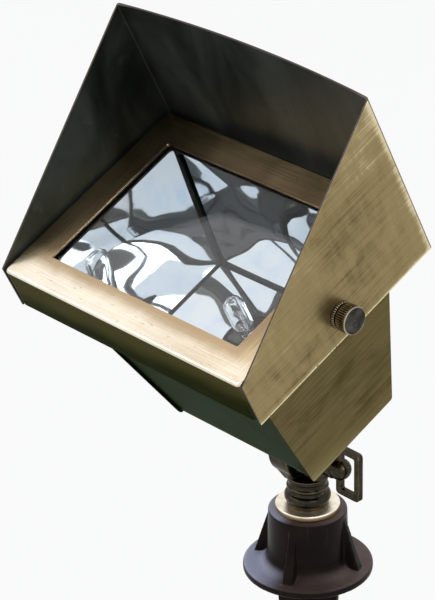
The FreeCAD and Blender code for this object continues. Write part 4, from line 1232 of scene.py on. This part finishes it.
# Up-facing faces get patchy dust and a painted sheen: a brown film, thicker away from the sheen side, and a
# cold lilac painted sheen of the sky on the sheen side.
up_dust_and_sheen = up_facing.ramp(0.30, 1.0) * (0.55 + dust * 0.9)
film = up_dust_and_sheen * (towards_sheen.fall(-0.95, -0.10) * 0.40 + 0.26)
painted_sky_sheen = (up_dust_and_sheen * towards_sheen.ramp(0.42, 1.0) * 1.1).least(1.0)
colour = plastic.mix(film, colour, srgb(128, 110, 106))
colour = plastic.mix(painted_sky_sheen, colour, srgb(160, 163, 188))
flow_marks = plastic.noise(place, (300, 300, 40), 3).ramp(0.62, 0.75)
colour = plastic.mix(flow_marks * 0.08, colour, srgb(110, 104, 104))
plastic.surface(Base_Color=colour, Roughness=0.26 + mottle * 0.14, Specular_IOR_Level=0.08,
                Normal=plastic.bump(skin, 0.06, 0.0002), Specular_Tint=(0.84, 0.80, 0.76, 1.0))
plastic.on(stake)
print("stake finish ready")

# %% [markdown]
# Glass and the mirror make the lamp's face. The front glass is clear, so a real glass shader with
# almost no tint is right. The reflector is thin aluminium, bright but under a thin film. Its
# swells are in its mesh, so here a faint bump only breaks its widest reflections. Any finer grain
# would look like crumpled foil.

# %% Glass
def clear(name, tint):
    """Clear glass with a few faint smears."""
    glass = Finish(name)
    smear = glass.noise(glass.place(), 90, 4, 0.6)
    faint = tuple(part * 0.985 for part in tint[:3]) + (1.0,)
    glass.surface(Base_Color=glass.mix(smear.ramp(0.45, 0.8), tint, faint), Roughness=smear * 0.01,
                  Transmission_Weight=1.0, IOR=1.45)
    return glass


clear("lens glass", (0.99, 0.995, 0.995, 1.0)).on(nodes["lens_glass"])
clear("quartz", (0.98, 0.985, 0.99, 1.0)).on(capsule)
print("glass ready")

# %% Mirror
mirror = Finish("bright aluminium")
place = mirror.head_place()
swell = mirror.noise(mirror.stretched(place, 1, 0.7, 1), 11, 0, 0.4, 0.6)
film = mirror.noise(place, (40, 25, 40), 5, 0.65, 0.5)
colour = mirror.mix(film.ramp(0.5, 0.75), srgb(248, 252, 255), srgb(234, 243, 255))
mirror.surface(Base_Color=colour, Metallic=0.93, Roughness=0.015 + film * 0.03,
               Normal=mirror.bump(swell, 0.15, 0.001))
mirror.on(reflector)
print("mirror ready")

# %% [markdown]
# The rest is small: black rubber round the glass, behind the arm's pad, between the two ears and
# where the leads pass through, zinc-plated steel for screws, nuts and brackets, a grey ceramic
# holder, a tungsten coil, sleeved leads and nylon spacers. Each still gets its own grain, because
# the glass shows what is behind it and the hood can be swung away.

# %% Rubber, steel, ceramic and the small parts
def grained(name, first, second, scale, rough, metal=0.0):
    """A plain material between two colours, with a fine grain."""
    stuff = Finish(name)
    place = stuff.place()
    broad = stuff.noise(place, scale, 4, 0.6)
    fine = stuff.noise(place, scale * 12, 2, 0.6)
    stuff.surface(Base_Color=stuff.mix(broad.ramp(0.3, 0.7), first, second), Metallic=metal,
                  Roughness=rough + broad * 0.12, Normal=stuff.bump(fine, 0.1, 0.0002))
    return stuff


rubber = grained("black rubber", srgb(14, 14, 14), srgb(30, 30, 31), 180, 0.55)
rubber.on(nodes["lens_gasket"], nodes["pad_seal"], nodes["wire_grommet"], nodes["friction_washer"])
zinc = grained("zinc plated steel", srgb(118, 118, 120), srgb(150, 150, 152), 220, 0.34, 1.0)
steel_parts = ("clamp_nut", "clamp_washer", "clamp_bolt", "pipe_nut", "stiffener_plate", "door_screws",
               "holder_bracket", "holder_screws", "bracket_screws", "weld_nuts", "lamp_pins")
zinc.on(*[nodes[name] for name in steel_parts])
grained("tungsten", srgb(120, 122, 128), srgb(160, 162, 168), 900, 0.25, 1.0).on(nodes["lamp_filament"])
grained("ceramic", srgb(84, 84, 82), srgb(112, 112, 108), 300, 0.35).on(nodes["lamp_holder"])
grained("lead sleeve", srgb(206, 202, 190), srgb(226, 222, 210), 700, 0.6).on(nodes["lamp_leads"])
grained("nylon", srgb(196, 194, 186), srgb(212, 210, 202), 260, 0.45).on(nodes["hood_spacers"])
bare = [name for name, piece in nodes.items() if not piece.hide_render and len(piece.data.materials) != 1]
print("nodes without one finish:", bare)
